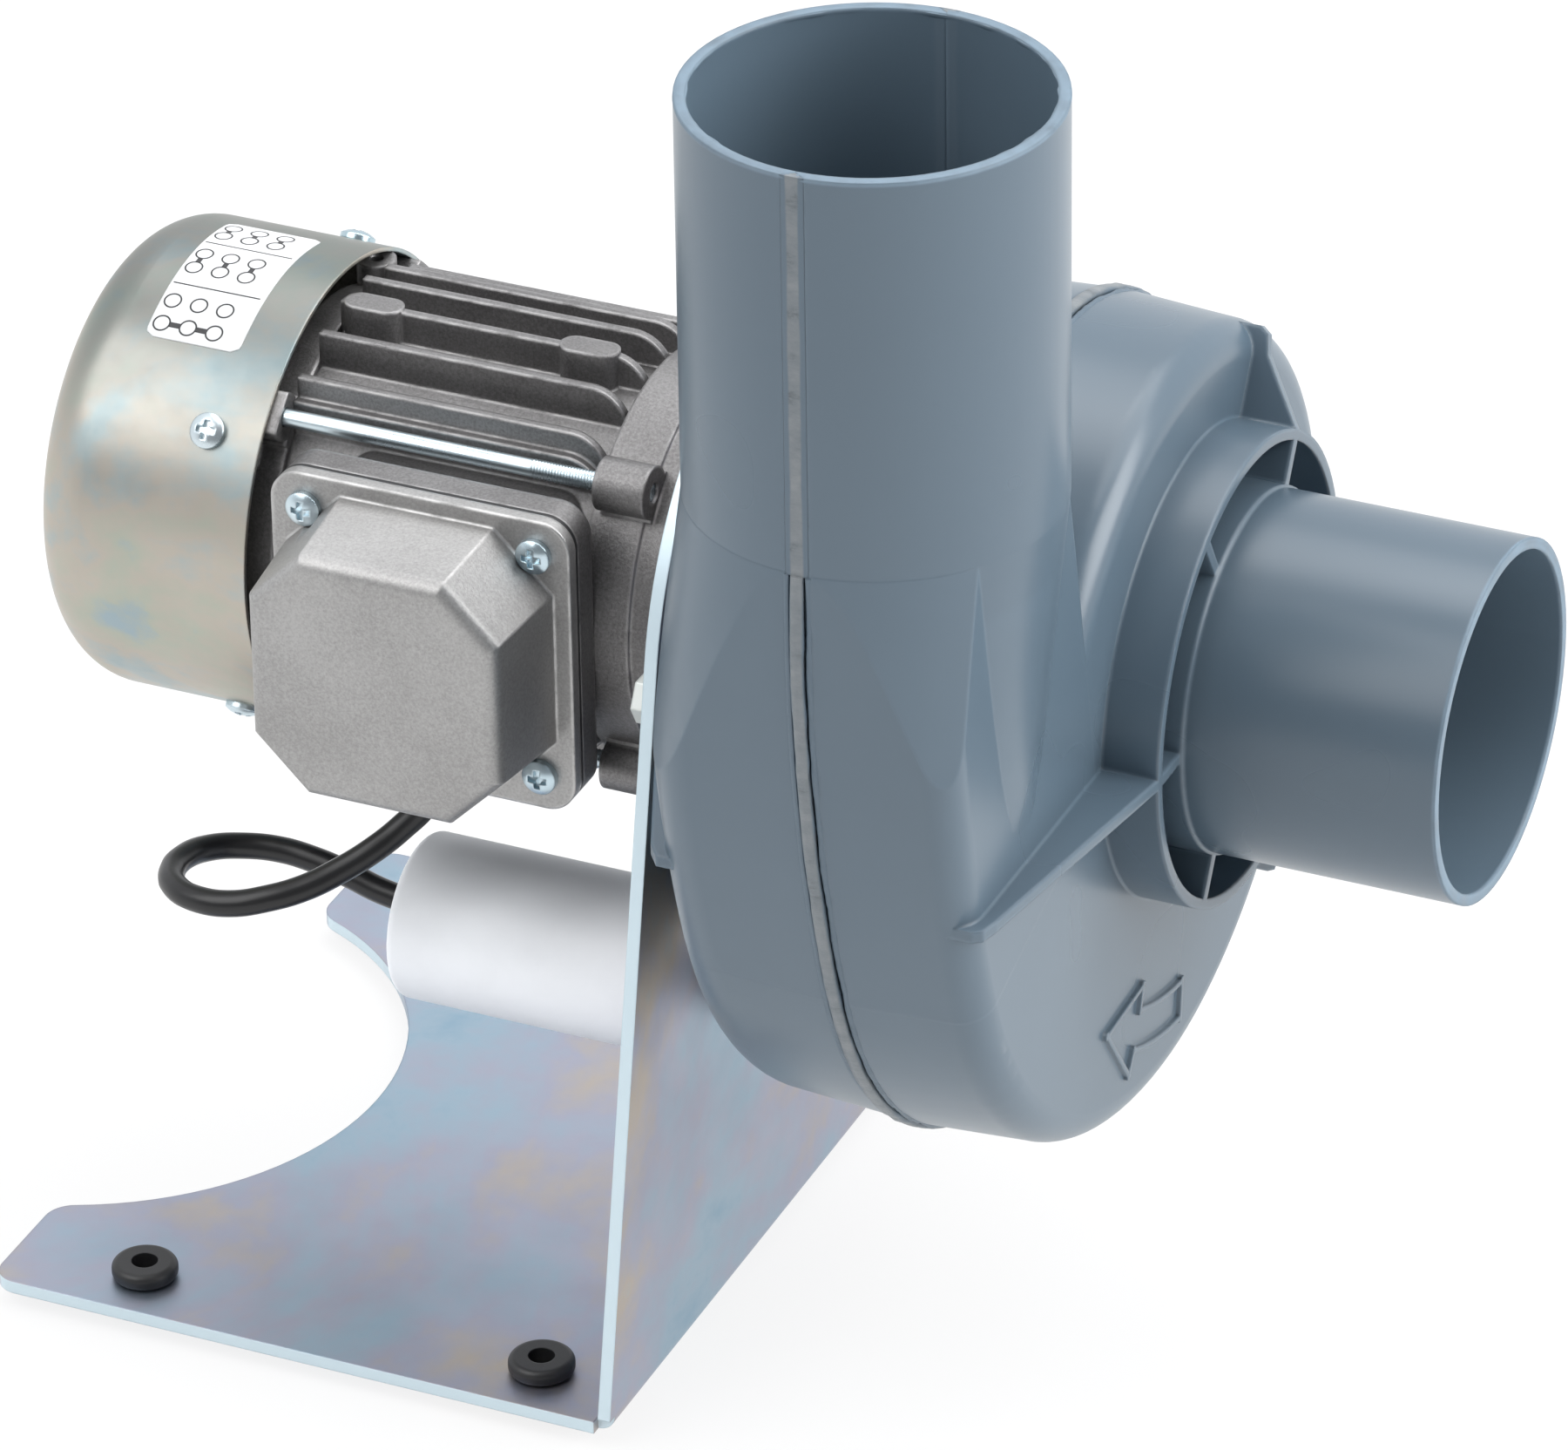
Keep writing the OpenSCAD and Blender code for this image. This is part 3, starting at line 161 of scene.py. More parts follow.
def rough(x, y=0.0, z=0.0):
    """Smooth noise between -1 and 1, the same at every run."""
    return noise.noise(Vector((x, y, z)))


# Outline of the scroll at the seam: centre, radius, first and last angle of each arc, in millimetres
ARCS = (
    ((163.565, 72.356), 298.55, 180.0, 199.5),
    ((-14.5, 9.3), 109.6, 199.5, 270.0),
    ((-14.5, -5.7), 94.6, 270.0, 360.0),
    ((0.5, -5.7), 79.6, 0.0, 133.0),
)
PIPE_Y = -94.935
PIPE_R = 40.0
PIPE_TOP = 174.6
SEAM = 66.4
# The raised bead ends at this height on the pipe. Above it, and on the pipe's far side, the weld is flush
BEAD_TOP = 84.0
BEAD_STEP = 1.3
FAR_SIDE_LOW = 72.4
# Far side's short arc between the scroll and the pipe, about the first arc's centre
NECK_R = 218.5
NECK_SPAN = 5.2


def seam_path():
    """Points (y, z) and outward directions along the raised bead, from the pipe down and round."""
    path = [((PIPE_Y - PIPE_R - 0.05, BEAD_TOP - 3.0 * k), (-1.0, 0.0)) for k in range(4)]
    for (cy, cz), r, start, end in ARCS:
        count = int(math.radians(end - start) * r / BEAD_STEP)
        for k in range(count + 1):
            a = math.radians(start + (end - start) * k / count)
            path.append(((cy + r * math.cos(a), cz + r * math.sin(a)), (math.cos(a), math.sin(a))))
    return path


def sweep_along(verts, faces, path, profile):
    """profile(k) gives (outward, along the shaft) points in millimetres for the path's point k."""
    skin(verts, faces, [[at_shaft(SEAM + x, y + o * ny, z + o * nz) for o, x in profile(k)]
                        for k, ((y, z), (ny, nz)) in enumerate(path)])


def make_weld():
    """The ragged bead in the seam with a lip of pushed-up plastic on each side, and the flush stretches."""
    verts, faces = [], []
    path = seam_path()
    last = len(path) - 1

    def ridge(k):
        """Section of the bead, which sinks towards both ends."""
        fade = min(1.0, k / 6, (last - k) / 6)
        h = (1.15 + 0.35 * rough(k * 0.05) + 0.22 * rough(k * 0.31, 5)) * (0.4 + 0.6 * fade)
        shift = 0.22 * rough(k * 0.04, 9)
        left = 1.45 + 0.18 * rough(k * 0.2, 13)
        right = 1.4 + 0.22 * rough(k * 0.23, 17)
        return ((-1.7, 0.0), (-0.4, shift - left), (h - 0.35, shift - left), (h, shift - left + 0.35),
                (h + 0.05, shift), (h - 0.05, shift + right - 0.4), (h - 0.45, shift + right),
                (-0.4, shift + right))

    def lip(side, tall, seed):
        """Section of the lip on one side, with its own pattern of noise."""
        def profile(k):
            h = max(0.06, tall * (0.55 + 0.9 * rough(k * 0.17, seed) + 0.5 * rough(k * 0.6, seed + 3)))
            mid = 2.35 + 0.3 * rough(k * 0.11, seed + 7)
            return tuple((o, side * x) for o, x in (
                (-0.75, 1.6), (h * 0.6, mid - 0.45), (h, mid), (h * 0.5, mid + 0.4), (-0.12, 3.15)))
        return profile

    sweep_along(verts, faces, path, ridge)
    sweep_along(verts, faces, path, lip(-1, 0.35, 21))
    sweep_along(verts, faces, path, lip(1, 0.75, 41))

    def flush(k):
        """Section of the weld where it was ground off."""
        return ((-1.75, 0.0), (-0.08, -2.6), (0.05 + 0.03 * rough(k * 0.3, 3), -1.4),
                (0.07, 0.0), (0.05 + 0.03 * rough(k * 0.3, 7), 1.4), (-0.08, 2.6))

    for side, low in ((-1, BEAD_TOP), (1, FAR_SIDE_LOW)):
        rise = [low + (PIPE_TOP - low) * k / 40 for k in range(41)]
        wall = [((PIPE_Y + side * PIPE_R, z), (side, 0.0)) for z in rise]
        sweep_along(verts, faces, wall, flush)
    cy, cz = ARCS[0][0]
    neck = []
    for k in range(9):
        a = math.radians(180 + NECK_SPAN * k / 8)
        neck.append(((cy + NECK_R * math.cos(a), cz + NECK_R * math.sin(a)), (-math.cos(a), -math.sin(a))))
    sweep_along(verts, faces, neck, flush)
    return make_object("weld", verts, faces, "weld_bead")


def make_tie_rods():
    """Each rod has a plain shank and a rolled M4 thread towards the drive-end shield."""
    verts, faces = [], []
    x0, thread_x, x1 = -106.5, -40.5, -12.5
    r, pitch, sides = 2.0, 0.7, 20
    root, tooth, circle_r = 0.22, 0.42, 49.2
    steps = [x0, x0 + 0.3, thread_x - 0.6, thread_x]
    steps += [thread_x + pitch / 6 * k for k in range(1, int((x1 - thread_x) / pitch * 6))] + [x1]
    for angle in (45, 135, 225, 315):
        cy = circle_r * math.cos(math.radians(angle))
        cz = circle_r * math.sin(math.radians(angle))
        rings = []
        for x in steps:
            ring = []
            for j in range(sides):
                a = 2 * math.pi * j / sides
                rr = r
                if x > thread_x:
                    turn = ((x - thread_x) / pitch + j / sides) % 1.0
                    rr = r - root + tooth * (1 - abs(2 * turn - 1))
                ring.append(at_shaft(x, cy + rr * math.cos(a), cz + rr * math.sin(a)))
            rings.append(ring)
        skin(verts, faces, rings)
    return make_object("tie_rods_threaded", verts, faces, "tie_rods")


def make_outlet_rim():
    """The sawn top of the outlet pipe, with the burr that the saw left."""
    verts, faces, rings = [], [], []
    count = 260
    for k in range(count):
        a = 2 * math.pi * k / count
        c, d = 3 * math.cos(a), 3 * math.sin(a)
        burr = max(0.0, rough(2.2 * c, 2.2 * d, 4.0)) * 1.3 + max(0.0, rough(6 * c, 6 * d, 9.0)) * 0.4
        top = 0.18 * rough(1.5 * c, 1.5 * d, 1.0) + 0.12 * rough(7 * c, 7 * d, 2.0)
        profile = ((37.7, -1.6), (37.45 - 0.3 * burr, -0.5), (37.4 - 0.5 * burr, 0.0), (38.2, 0.14 + top),
                   (39.3, 0.16 + top), (39.98, -0.05), (40.06, -0.5), (39.8, -1.6))
        rings.append([at_shaft(SEAM + r * math.sin(a), PIPE_Y + r * math.cos(a), PIPE_TOP + h - 0.15)
                      for r, h in profile])
    skin(verts, faces, rings, closed=True)
    return make_object("outlet_rim_burr", verts, faces, None)


# Sticker on the cowl: a plain plate with the rings and bars of a terminal diagram, without letters
COWL_R = 53.2
LABEL_X = (-137.0, -114.0)
LABEL_ANGLES = (75.0, 123.0)
LABEL_LIFT = 0.09
MARK_LIFTS = (0.07, 0.13)
TERMINAL_X = (-134.2, -127.8, -121.4)
TERMINAL_ANGLES = (79.2, 84.6, 94.6, 100.4, 112.2, 119.0)
TERMINAL_R = 2.1
LINE_WIDTH = 0.38


def on_cowl(x, angle, lift):
    """A point above the cowl's side, at an angle in degrees about the shaft."""
    a = math.radians(angle)
    return at_shaft(x, (COWL_R + lift) * math.cos(a), (COWL_R + lift) * math.sin(a))


def make_label():
    """A thin plate with rounded corners, bent to the cowl."""
    verts, faces = [], []
    columns, rows, corner = 24, 40, 2.0
    x0, x1 = LABEL_X
    height = math.radians(LABEL_ANGLES[1] - LABEL_ANGLES[0]) * COWL_R
    for j in range(rows + 1):
        v = height * j / rows
        edge = min(v, height - v)
        inset = corner - math.sqrt(corner ** 2 - (corner - edge) ** 2) if edge < corner else 0.0
        angle = LABEL_ANGLES[0] + math.degrees(v / COWL_R)
        for lift in (0.0, LABEL_LIFT):
            for k in range(columns + 1):
                verts.append(on_cowl(x0 + inset + (x1 - x0 - 2 * inset) * k / columns, angle, lift))
    width = columns + 1
    for j in range(rows):
        for side in (0, 1):
            a = (2 * j + side) * width
            b = a + 2 * width
            for k in range(columns):
                faces.append((a + k, a + k + 1, b + k + 1, b + k))
        for k in (0, columns):
            a = 2 * j * width + k
            faces.append((a, a + width, a + 3 * width, a + 2 * width))
    for j in (0, rows):
        a = 2 * j * width
        for k in range(columns):
            faces.append((a + k, a + k + 1, a + width + k + 1, a + width + k))
    return make_object("cowl_label", verts, faces, None)


def make_label_marks():
    """Two rows of joined terminals, one row that a bar links, and the lines between."""
    verts, faces = [], []
    low, high = MARK_LIFTS

    def strip(outline_in, outline_out, closed):
        """A raised line between two rows of (x, angle) points."""
        rings = [[on_cowl(*p, low), on_cowl(*p, high), on_cowl(*q, high), on_cowl(*q, low)]
                 for p, q in zip(outline_in, outline_out)]
        skin(verts, faces, rings, closed)

    def ring(x, angle):
        turn = [2 * math.pi * k / 28 for k in range(28)]
        inner, outer = ([(x + r * math.cos(t), angle + math.degrees(r * math.sin(t) / COWL_R)) for t in turn]
                        for r in (TERMINAL_R - LINE_WIDTH, TERMINAL_R))
        strip(inner, outer, True)

    def bar(x0, x1, a0, a1):
        steps = [a0 + (a1 - a0) * k / 6 for k in range(7)]
        strip([(x0, a) for a in steps], [(x1, a) for a in steps], False)

    for x in TERMINAL_X:
        for angle in TERMINAL_ANGLES:
            ring(x, angle)
        for angle in (81.9, 97.5):
            bar(x - 0.6, x + 0.6, angle - 0.9, angle + 0.9)
    for left, right in zip(TERMINAL_X, TERMINAL_X[1:]):
        bar(left + 2.0, right - 2.0, 118.3, 119.7)
    for angle in (89.3, 106.6):
        bar(LABEL_X[0] + 0.6, LABEL_X[1] - 1.2, angle - 0.18, angle + 0.18)
    return make_object("cowl_label_marks", verts, faces, None)


weld = make_weld()
tie_rods = make_tie_rods()
outlet_rim = make_outlet_rim()
label = make_label()
label_marks = make_label_marks()


# Materials
BEVEL_SAMPLES = 6


class Shader:
    """Builds one procedural material on a Principled BSDF."""

    def __init__(self, name):
        self.material = bpy.data.materials.new(name)
        self.material.use_nodes = True
        self.tree = self.material.node_tree
        self.bsdf = self.tree.nodes["Principled BSDF"]
        self.coords = self.tree.nodes.new("ShaderNodeTexCoord").outputs["Object"]
        self.normal = None

    def node(self, kind, inputs=None, **settings):
        made = self.tree.nodes.new(kind)
        for key, value in settings.items():
            setattr(made, key, value)
        for key, value in (inputs or {}).items():
            self.put(made.inputs[key], value)
        return made

    def put(self, socket, value):
        if isinstance(value, bpy.types.NodeSocket):
            self.tree.links.new(value, socket)
        elif isinstance(value, tuple) and len(value) == 3 and socket.type == "RGBA":
            socket.default_value = (*value, 1)
        else:
            socket.default_value = value

    def set(self, **values):
        for key, value in values.items():
            self.put(self.bsdf.inputs[key.replace("_", " ")], value)

    def noise(self, scale, detail=4.0, roughness=0.55, stretch=None, distortion=0.0):
        where = self.coords
        if stretch:
            where = self.node("ShaderNodeMapping", {"Vector": self.coords, "Scale": stretch}).outputs[0]
        return self.node("ShaderNodeTexNoise", {
            "Vector": where, "Scale": scale, "Detail": detail, "Roughness": roughness,
            "Distortion": distortion}).outputs["Fac"]

    def ramp(self, factor, *stops):
        made = self.node("ShaderNodeValToRGB", {"Fac": factor})
        points = made.color_ramp.elements
        while len(points) < len(stops):
            points.new(0.5)
        for point, (place, colour) in zip(points, stops):
            point.position = place
            point.color = (*colour, 1)
        return made.outputs["Color"]

    def mix(self, factor, a, b):
        made = self.node("ShaderNodeMix", data_type="RGBA")
        self.put(made.inputs[0], factor)
        self.put(made.inputs[6], a)
        self.put(made.inputs[7], b)
        return made.outputs[2]

    def math(self, operation, a, b=0.0):
        made = self.node("ShaderNodeMath", operation=operation)
        self.put(made.inputs[0], a)
        self.put(made.inputs[1], b)
        return made.outputs[0]

    def band(self, value, start, end):
        """0 where value is at start, 1 where it is at end, and smooth between."""
        return self.node("ShaderNodeMapRange", {
            "Value": value, "From Min": start, "From Max": end}, interpolation_type="SMOOTHSTEP").outputs[0]

    def between(self, factor, start, end, low, high):
        """low where factor is at start, high where it is at end, and straight between."""
        return self.node("ShaderNodeMapRange", {
            "Value": factor, "From Min": start, "From Max": end, "To Min": low, "To Max": high}).outputs[0]

    def far_from(self, u, u0, v, v0):
        """Distance of the point (u, v) from (u0, v0)."""
        du, dv = self.math("SUBTRACT", u, u0), self.math("SUBTRACT", v, v0)
        return self.math("SQRT", self.math("ADD", self.math("MULTIPLY", du, du), self.math("MULTIPLY", dv, dv)))

    def wear(self, radius):
        """1 along edges and corners, 0 on flat faces."""
        rounded = self.node("ShaderNodeBevel", {"Radius": radius}, samples=BEVEL_SAMPLES).outputs[0]
        flat = self.node("ShaderNodeNewGeometry").outputs["Normal"]
        along = self.node("ShaderNodeVectorMath", operation="DOT_PRODUCT")
        self.put(along.inputs[0], rounded)
        self.put(along.inputs[1], flat)
        return self.band(along.outputs["Value"], 0.995, 0.90)

    def round_edges(self, radius):
        self.normal = self.node("ShaderNodeBevel", {"Radius": radius}, samples=BEVEL_SAMPLES).outputs[0]
        self.set(Normal=self.normal)
        return self

    def bump(self, height, distance, strength=1.0):
        made = self.node("ShaderNodeBump", {"Height": height, "Distance": distance, "Strength": strength})
        if self.normal is not None:
            self.put(made.inputs["Normal"], self.normal)
        self.normal = made.outputs[0]
        self.set(Normal=self.normal)


# Places on the casing in the row frame, in metres, for its material
SEAM_X = UPRIGHT_X + SEAM / 1000
OUTLET_Y = PIPE_Y / 1000
OUTLET_TOP = SHAFT_Z + PIPE_TOP / 1000
INLET_END = UPRIGHT_X + 0.1693


def scaled(colour, factor):
    return tuple(min(1, factor * c) for c in colour)


def casing_plastic(name, low, high):
    s = Shader(name).round_edges(0.0012)
    colour = s.ramp(s.noise(9, 3), (0.1, low), (0.9, high))
    place = s.node("ShaderNodeSeparateXYZ", {"Vector": s.coords})
    # Scraped plastic beside the weld, with a ragged border
    off_seam = s.math("ABSOLUTE", s.math("SUBTRACT", place.outputs["X"], SEAM_X))
    ragged = s.math("MULTIPLY", s.math("SUBTRACT", s.noise(240, 4), 0.5), 0.0016)
    seam = s.band(s.math("ADD", off_seam, ragged), 0.0028, 0.0022)
    colour = s.mix(seam, colour, scaled(low, 0.82))
    # Painted light: paler plastic inside the outlet pipe and the inlet spigot, to brighten these recesses
    off_pipe = s.far_from(place.outputs["X"], SEAM_X, place.outputs["Y"], OUTLET_Y)
    off_shaft = s.far_from(place.outputs["Y"], 0.0, place.outputs["Z"], SHAFT_Z)
    lit_in_pipe = s.math("MULTIPLY", s.band(off_pipe, 0.0388, 0.0384),
                     s.band(place.outputs["Z"], SHAFT_Z + 0.05, SHAFT_Z + 0.11))
    lit_in_inlet = s.math("MULTIPLY", s.band(off_shaft, 0.0388, 0.0384),
                      s.band(place.outputs["X"], SEAM_X + 0.03, SEAM_X + 0.06))
    colour = s.mix(s.math("MAXIMUM", lit_in_pipe, lit_in_inlet), colour, scaled(high, 1.15))
    # Sawn rims of the two spigots: paler, rougher sawn plastic, and partly a painted highlight along the rim
    rim = s.math("MAXIMUM", s.band(place.outputs["Z"], OUTLET_TOP - 0.0012, OUTLET_TOP - 0.0004),
                 s.band(place.outputs["X"], INLET_END - 0.0010, INLET_END - 0.0003))
    rim = s.math("MULTIPLY", rim, s.band(s.noise(180, 3), 0.05, 0.75))
    pale = scaled(high, 1.7)
    colour = s.mix(rim, colour, pale)
    worn = s.math("MULTIPLY", s.wear(0.0016), 0.35)
    s.set(Base_Color=s.mix(worn, colour, pale), Specular_IOR_Level=0.6)
    gloss = s.between(s.noise(14, 2), 0.1, 0.9, 0.24, 0.34)
    s.set(Roughness=s.math("ADD", gloss, s.math("MULTIPLY", s.math("MAXIMUM", seam, rim), 0.3)))
    s.bump(s.noise(650, 2), 0.00001, 0.3)
    return s


def weld_plastic(name, shell, low, high):
    s = Shader(name).round_edges(0.0004)
    ragged = s.noise(210, 6, 0.7, (0.5, 1, 1))
    strip = s.ramp(ragged, (0.30, scaled(low, 0.55)), (0.42, low), (0.7, high))
    place = s.node("ShaderNodeSeparateXYZ", {"Vector": s.coords})
    off_seam = s.math("ABSOLUTE", s.math("SUBTRACT", place.outputs["X"], SEAM_X))
    wavy = s.math("MULTIPLY", s.math("SUBTRACT", s.noise(60, 3), 0.5), 0.0008)
    middle = s.band(s.math("ADD", off_seam, wavy), 0.0016, 0.0010)
    s.set(Base_Color=s.mix(middle, shell, strip), Roughness=0.42)
    s.bump(ragged, 0.0003, 0.6)
    s.bump(s.noise(900, 3), 0.00008, 0.5)
    return s


def zinc(name, tints, roughness, scale=9.0, edge_sheen=None, painted_top_shade=0.0):
    """Clouded zinc. The sheet's cut edges can get a pale colour as a painted reflection, and what faces up can
    be darkened as painted shade.
    """
    s = Shader(name).round_edges(0.0006)
    s.set(Metallic=1.0)
    cloud = s.noise(scale, 6, 0.6, distortion=1.2)
    spots = s.noise(scale * 5, 4, 0.6)
    tone = s.math("ADD", s.math("MULTIPLY", cloud, 0.72), s.math("MULTIPLY", spots, 0.28))
    steps = len(tints) - 1
    colour = s.ramp(tone, *[(0.36 + 0.28 * k / steps, t) for k, t in enumerate(tints)])
    if edge_sheen:
        # Painted reflection: the sheet's cut edges, which face along Y, get a pale, less metallic colour in
        # place of the light they reflect
        facing = s.node("ShaderNodeSeparateXYZ", {
            "Vector": s.node("ShaderNodeNewGeometry").outputs["True Normal"]}).outputs["Y"]
        edges = s.band(s.math("ABSOLUTE", facing), 0.5, 0.8)
        colour = s.mix(edges, colour, edge_sheen)
        s.set(Metallic=s.math("SUBTRACT", 1.0, s.math("MULTIPLY", edges, 0.6)))
    if painted_top_shade:
        # Painted shade: what faces up is darkened, to tone down the light that falls on the top
        up = s.node("ShaderNodeSeparateXYZ", {
            "Vector": s.node("ShaderNodeNewGeometry").outputs["Normal"]}).outputs["Z"]
        top_shade_amount = s.math("MULTIPLY", s.band(up, 0.25, 0.9), painted_top_shade)
        colour = s.mix(top_shade_amount, colour, scaled(tints[0], 0.3))
    s.set(Base_Color=colour, Roughness=s.between(s.noise(45, 5, 0.6), 0.35, 0.65, *roughness))
    s.bump(s.noise(260, 3, 0.6), 0.00005, 0.35)
    return s


def cast(name, low, high, height=0.00014):
    """Die-cast aluminium with a fine grain of this height, and edges rubbed bright."""
    s = Shader(name).round_edges(0.0011)
    s.set(Metallic=0.85)
    fine = s.noise(1500, 4, 0.75)
    blotch = s.noise(24, 5)
    tone = s.math("ADD", s.math("MULTIPLY", fine, 0.6), s.math("MULTIPLY", blotch, 0.4))
    colour = s.ramp(tone, (0.40, low), (0.60, high))
    worn = s.math("MULTIPLY", s.wear(0.0015), s.band(s.noise(160, 4), 0.30, 0.62))
    s.set(Base_Color=s.mix(worn, colour, scaled(high, 1.5)),
          Roughness=s.math("SUBTRACT", 0.46, s.math("MULTIPLY", worn, 0.16)))
    s.bump(fine, height, 0.7)
    s.bump(s.noise(320, 3), 0.00016, 0.4)
    return s


def plain(name, colour, roughness, metallic=0.0, spread=0.12):
    """One colour that varies by the share spread."""
    s = Shader(name).round_edges(0.0004)
    tones = s.ramp(s.noise(60, 4), (0.35, scaled(colour, 1 - spread)), (0.65, scaled(colour, 1 + spread)))
    s.set(Base_Color=tones, Roughness=roughness, Metallic=metallic)
    s.bump(s.noise(700, 3), 0.00003, 0.5)
    return s


ZINC_TINTS = (
    (0.24, 0.37, 0.47), (0.33, 0.43, 0.51), (0.38, 0.39, 0.47), (0.46, 0.41, 0.36), (0.34, 0.44, 0.51),
)
COWL_TINTS = (
    (0.33, 0.43, 0.46), (0.42, 0.48, 0.48), (0.52, 0.48, 0.42), (0.47, 0.49, 0.42), (0.37, 0.46, 0.50),
)
SCREW_TINTS = ((0.45, 0.58, 0.64), (0.62, 0.74, 0.80), (0.74, 0.80, 0.82))
BOLT_TINTS = ((0.62, 0.66, 0.64), (0.82, 0.84, 0.82))
# Pale colour painted on the bracket's cut edges as a reflection
EDGE_SHEEN = (0.62, 0.74, 0.80)
WELD_SHELL = (0.087, 0.123, 0.158)

looks = {
    "base_bracket": zinc("zinc_sheet", ZINC_TINTS, (0.40, 0.50), scale=6, edge_sheen=EDGE_SHEEN),
    "foot_grommets": plain("black_rubber", (0.012, 0.012, 0.013), 0.42),
    "casing": casing_plastic("casing_plastic", (0.076, 0.110, 0.143), (0.088, 0.126, 0.161)),
    "weld_bead": weld_plastic("weld_plastic", WELD_SHELL, (0.135, 0.155, 0.17), (0.19, 0.205, 0.215)),
    "motor_housing": cast("cast_alloy", (0.165, 0.16, 0.16), (0.275, 0.27, 0.27)),
    "terminal_box_lid": cast("lid_alloy", (0.33, 0.325, 0.32), (0.45, 0.445, 0.44), height=0.0001),
    # The cowl's top gets painted shade, which tones down its highlight
    "fan_cowl": zinc("cowl_sheet", COWL_TINTS, (0.36, 0.48), scale=12, painted_top_shade=0.6),
    "screws": zinc("zinc_screws", SCREW_TINTS, (0.22, 0.34)),
    "casing_bolts": zinc("zinc_bolts", BOLT_TINTS, (0.4, 0.6)),
    "capacitor_can": plain("can_plastic", (0.92, 0.94, 0.97), 0.45, spread=0.02),
    "label": plain("label_film", (0.62, 0.63, 0.635), 0.4, spread=0.015),
    "label_ink": plain("label_ink", (0.03, 0.03, 0.032), 0.4, spread=0.05),
    "capacitor_lead": plain("cable_jacket", (0.010, 0.010, 0.011), 0.33),
    "stator_core": plain("laminations", (0.16, 0.16, 0.17), 0.5, 0.9),
    "stator_windings": plain("copper_wire", (0.42, 0.13, 0.05), 0.35, 0.6),
    "bearings": plain("bearing_steel", (0.62, 0.63, 0.65), 0.2, 1.0, spread=0.04),
    "terminal_block": plain("terminal_plastic", (0.05, 0.035, 0.028), 0.5),
    "terminal_studs": plain("brass", (0.70, 0.50, 0.22), 0.28, 1.0),
    "aluminium": plain("aluminium_stud", (0.70, 0.71, 0.72), 0.32, 1.0),
    "motor_shaft": plain("shaft_steel", (0.50, 0.51, 0.53), 0.28, 1.0),
    "cooling_fan": plain("fan_plastic", (0.02, 0.022, 0.026), 0.45),
    "impeller": casing_plastic("impeller_plastic", (0.07, 0.09, 0.105), (0.085, 0.105, 0.125)),
}
SAME_LOOK = {
    "casing": ("casing_front_shell", "casing_rear_shell"),
    "motor_housing": ("drive_end_shield", "rear_end_shield"),
    "screws": ("motor_mounting_screws", "tie_rods", "cowl_screws", "terminal_lid_screws", "capacitor_washer",
               "impeller_washer", "impeller_screw"),
    "casing_bolts": ("capacitor_nut",),
    "foot_grommets": ("terminal_box_gasket", "cable_grommet"),
    "stator_core": ("rotor_core",),
    "bearings": ("front_bearing_outer_ring", "rear_bearing_outer_ring", "bearing_wave_washer",
                 "front_bearing_inner_ring", "rear_bearing_inner_ring", "front_bearing_balls",
                 "rear_bearing_balls", "cooling_fan_clip"),
    "aluminium": ("capacitor_stud", "rotor_end_rings"),
}
look_of = {name: name for name in looks}
for look, names in SAME_LOOK.items():
    for name in names:
        look_of[name] = look
for name, obj in nodes.items():
    obj.data.materials.clear()
    obj.data.materials.append(looks[look_of[name]].material)
look_of_piece = (
    (lead, "capacitor_lead"), (weld, "weld_bead"), (tie_rods, "screws"), (outlet_rim, "casing"),
    (label, "label"), (label_marks, "label_ink"),
)
for piece, look in look_of_piece:
    piece.data.materials.append(looks[look].material)


# Floor, lights and surroundings
FLOOR = 8
FLOOR_WHITE = 0.82
AIM = (0.1, 0, 0.15)
# Direction towards the camera, and the world's strength there and opposite
TO_CAMERA = (0.355, -0.785, 0.507)
WORLD_NEAR = 0.30
WORLD_FAR = 1.0


def make_stage():
    """The camera sees mostly plain white, with a trace of the contact shadow."""
    mesh = bpy.data.meshes.new("floor")
    corners = [(-FLOOR, -FLOOR, 0), (FLOOR, -FLOOR, 0), (FLOOR, FLOOR, 0), (-FLOOR, FLOOR, 0)]
    mesh.from_pydata(corners, [], [(0, 1, 2, 3)])
    floor = bpy.data.objects.new("floor", mesh)
    bpy.context.scene.collection.objects.link(floor)
    look = Shader("floor_white")
    look.set(Base_Color=(0.86, 0.86, 0.86), Roughness=0.9)
    white = look.node("ShaderNodeEmission", {"Color": (1.0, 1.0, 1.0), "Strength": 1.0})
    path = look.node("ShaderNodeLightPath").outputs
    seen = look.math("MAXIMUM", path["Is Camera Ray"], path["Is Glossy Ray"])
    seen = look.math("MAXIMUM", seen, path["Is Transmission Ray"])
    mix = look.node("ShaderNodeMixShader", {"Fac": look.math("MULTIPLY", seen, FLOOR_WHITE)})
    look.tree.links.new(look.bsdf.outputs[0], mix.inputs[1])
    look.tree.links.new(white.outputs[0], mix.inputs[2])
    look.tree.links.new(mix.outputs[0], look.tree.nodes["Material Output"].inputs["Surface"])
    mesh.materials.append(look.material)


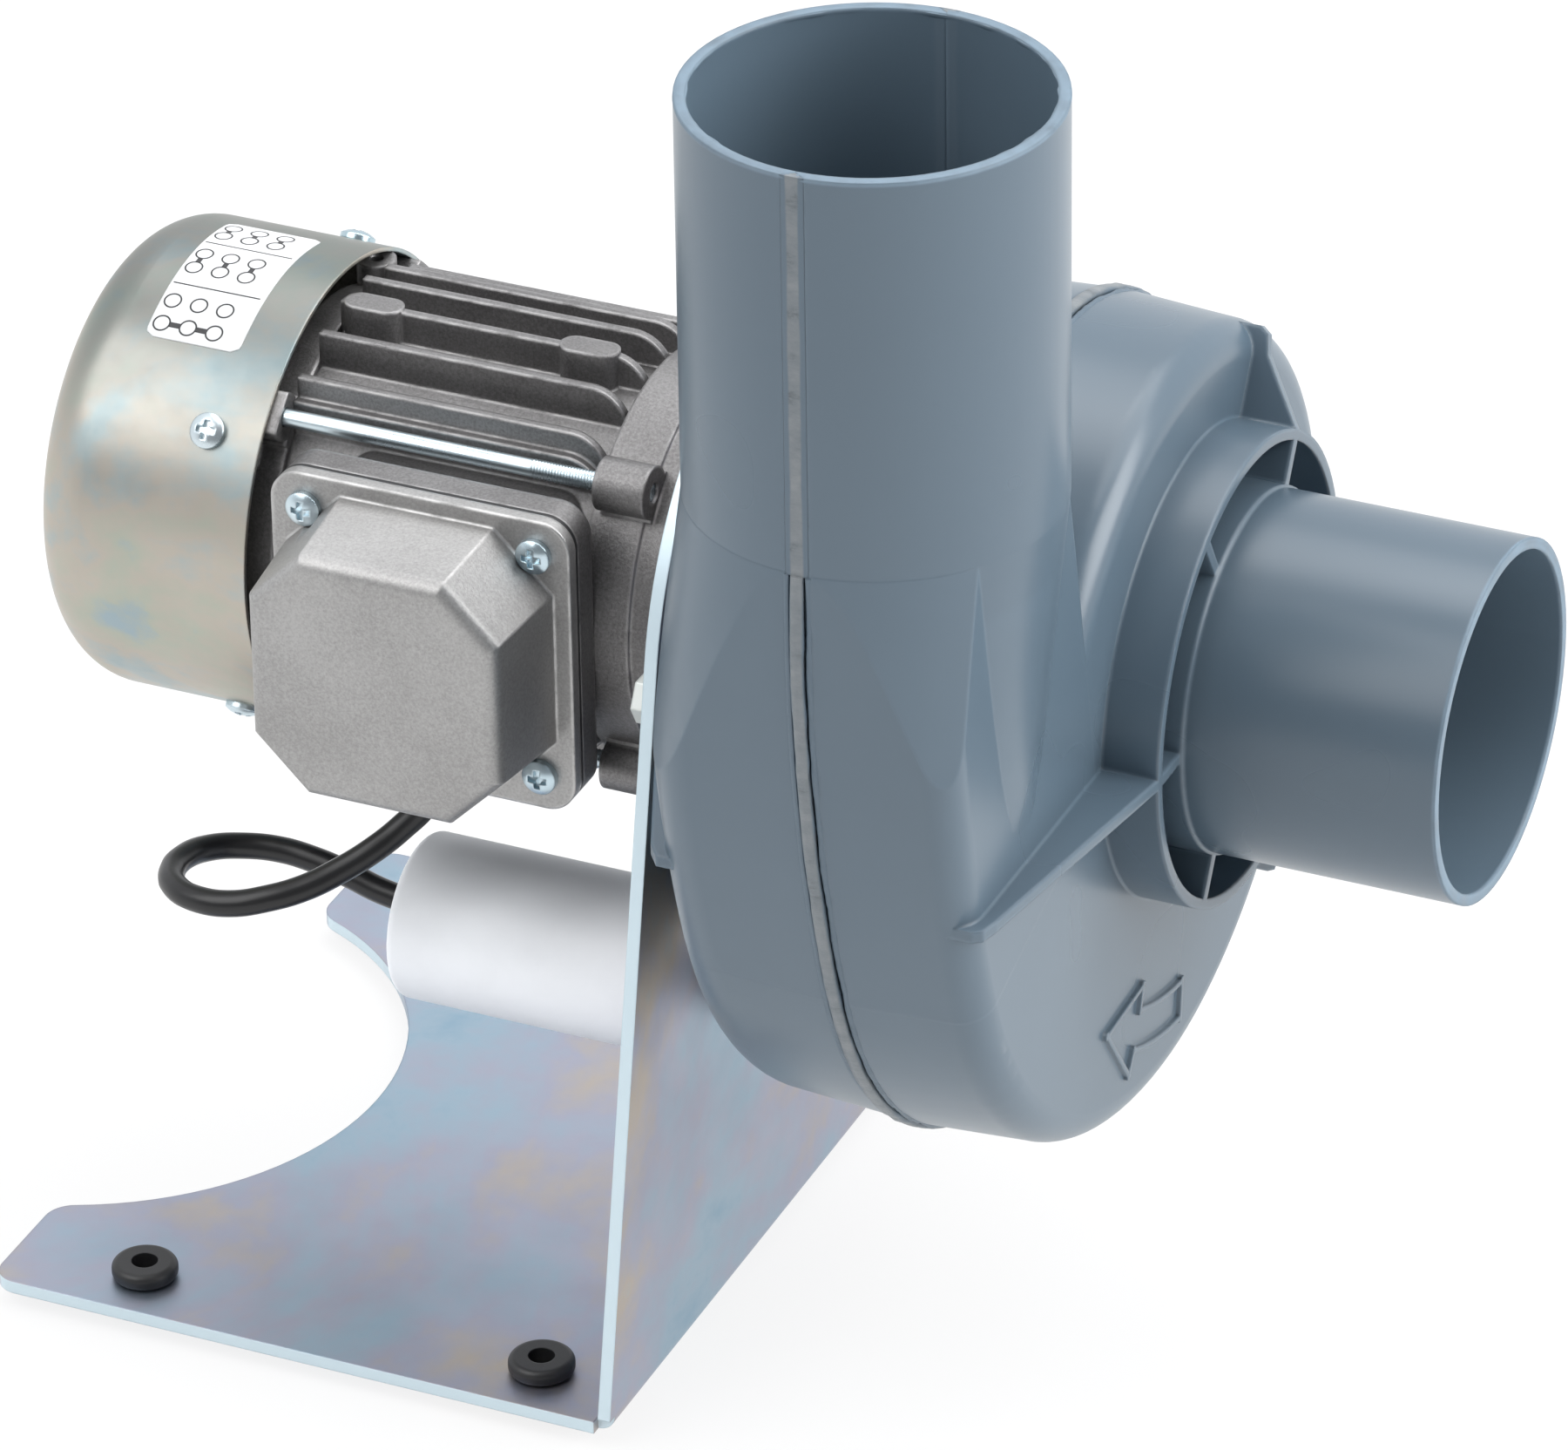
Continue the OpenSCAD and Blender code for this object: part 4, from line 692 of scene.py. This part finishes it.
def area_light(name, place, target, size, power):
    data = bpy.data.lights.new(name, "AREA")
    data.shape = "SQUARE"
    data.size = size
    data.energy = power
    light = bpy.data.objects.new(name, data)
    light.location = place
    light.rotation_mode = "QUATERNION"
    light.rotation_quaternion = (Vector(target) - Vector(place)).to_track_quat("-Z", "Y")
    bpy.context.scene.collection.objects.link(light)


def make_world():
    """White walls all round, and a darker room on the side that the picture is taken from."""
    world = bpy.data.worlds.new("studio")
    bpy.context.scene.world = world
    world.use_nodes = True
    tree = world.node_tree
    light = tree.nodes["Background"]
    light.inputs["Color"].default_value = (0.95, 0.97, 1.0, 1)
    coords = tree.nodes.new("ShaderNodeTexCoord")
    along = tree.nodes.new("ShaderNodeVectorMath")
    along.operation = "DOT_PRODUCT"
    along.inputs[1].default_value = TO_CAMERA
    tree.links.new(coords.outputs["Generated"], along.inputs[0])
    level = tree.nodes.new("ShaderNodeMapRange")
    level.interpolation_type = "SMOOTHSTEP"
    for key, value in (("From Min", -0.1), ("From Max", 0.85), ("To Min", WORLD_FAR), ("To Max", WORLD_NEAR)):
        level.inputs[key].default_value = value
    tree.links.new(along.outputs["Value"], level.inputs["Value"])
    tree.links.new(level.outputs[0], light.inputs["Strength"])
    seen = tree.nodes.new("ShaderNodeBackground")
    seen.inputs["Color"].default_value = (1, 1, 1, 1)
    seen.inputs["Strength"].default_value = 1.0
    path = tree.nodes.new("ShaderNodeLightPath")
    mix = tree.nodes.new("ShaderNodeMixShader")
    tree.links.new(path.outputs["Is Camera Ray"], mix.inputs[0])
    tree.links.new(light.outputs[0], mix.inputs[1])
    tree.links.new(seen.outputs[0], mix.inputs[2])
    tree.links.new(mix.outputs[0], tree.nodes["World Output"].inputs["Surface"])


make_stage()
make_world()
area_light("key_light", (-0.9, -1.2, 1.9), (0.05, 0, 0.15), 1.9, 33)
area_light("top_light", (0.4, 0.5, 1.8), AIM, 1.5, 19)
area_light("right_light", (1.85, 0.15, 1.2), AIM, 1.5, 44)
area_light("back_light", (-0.45, 0.95, 1.9), AIM, 0.9, 4)
bpy.context.scene.view_settings.view_transform = "Standard"
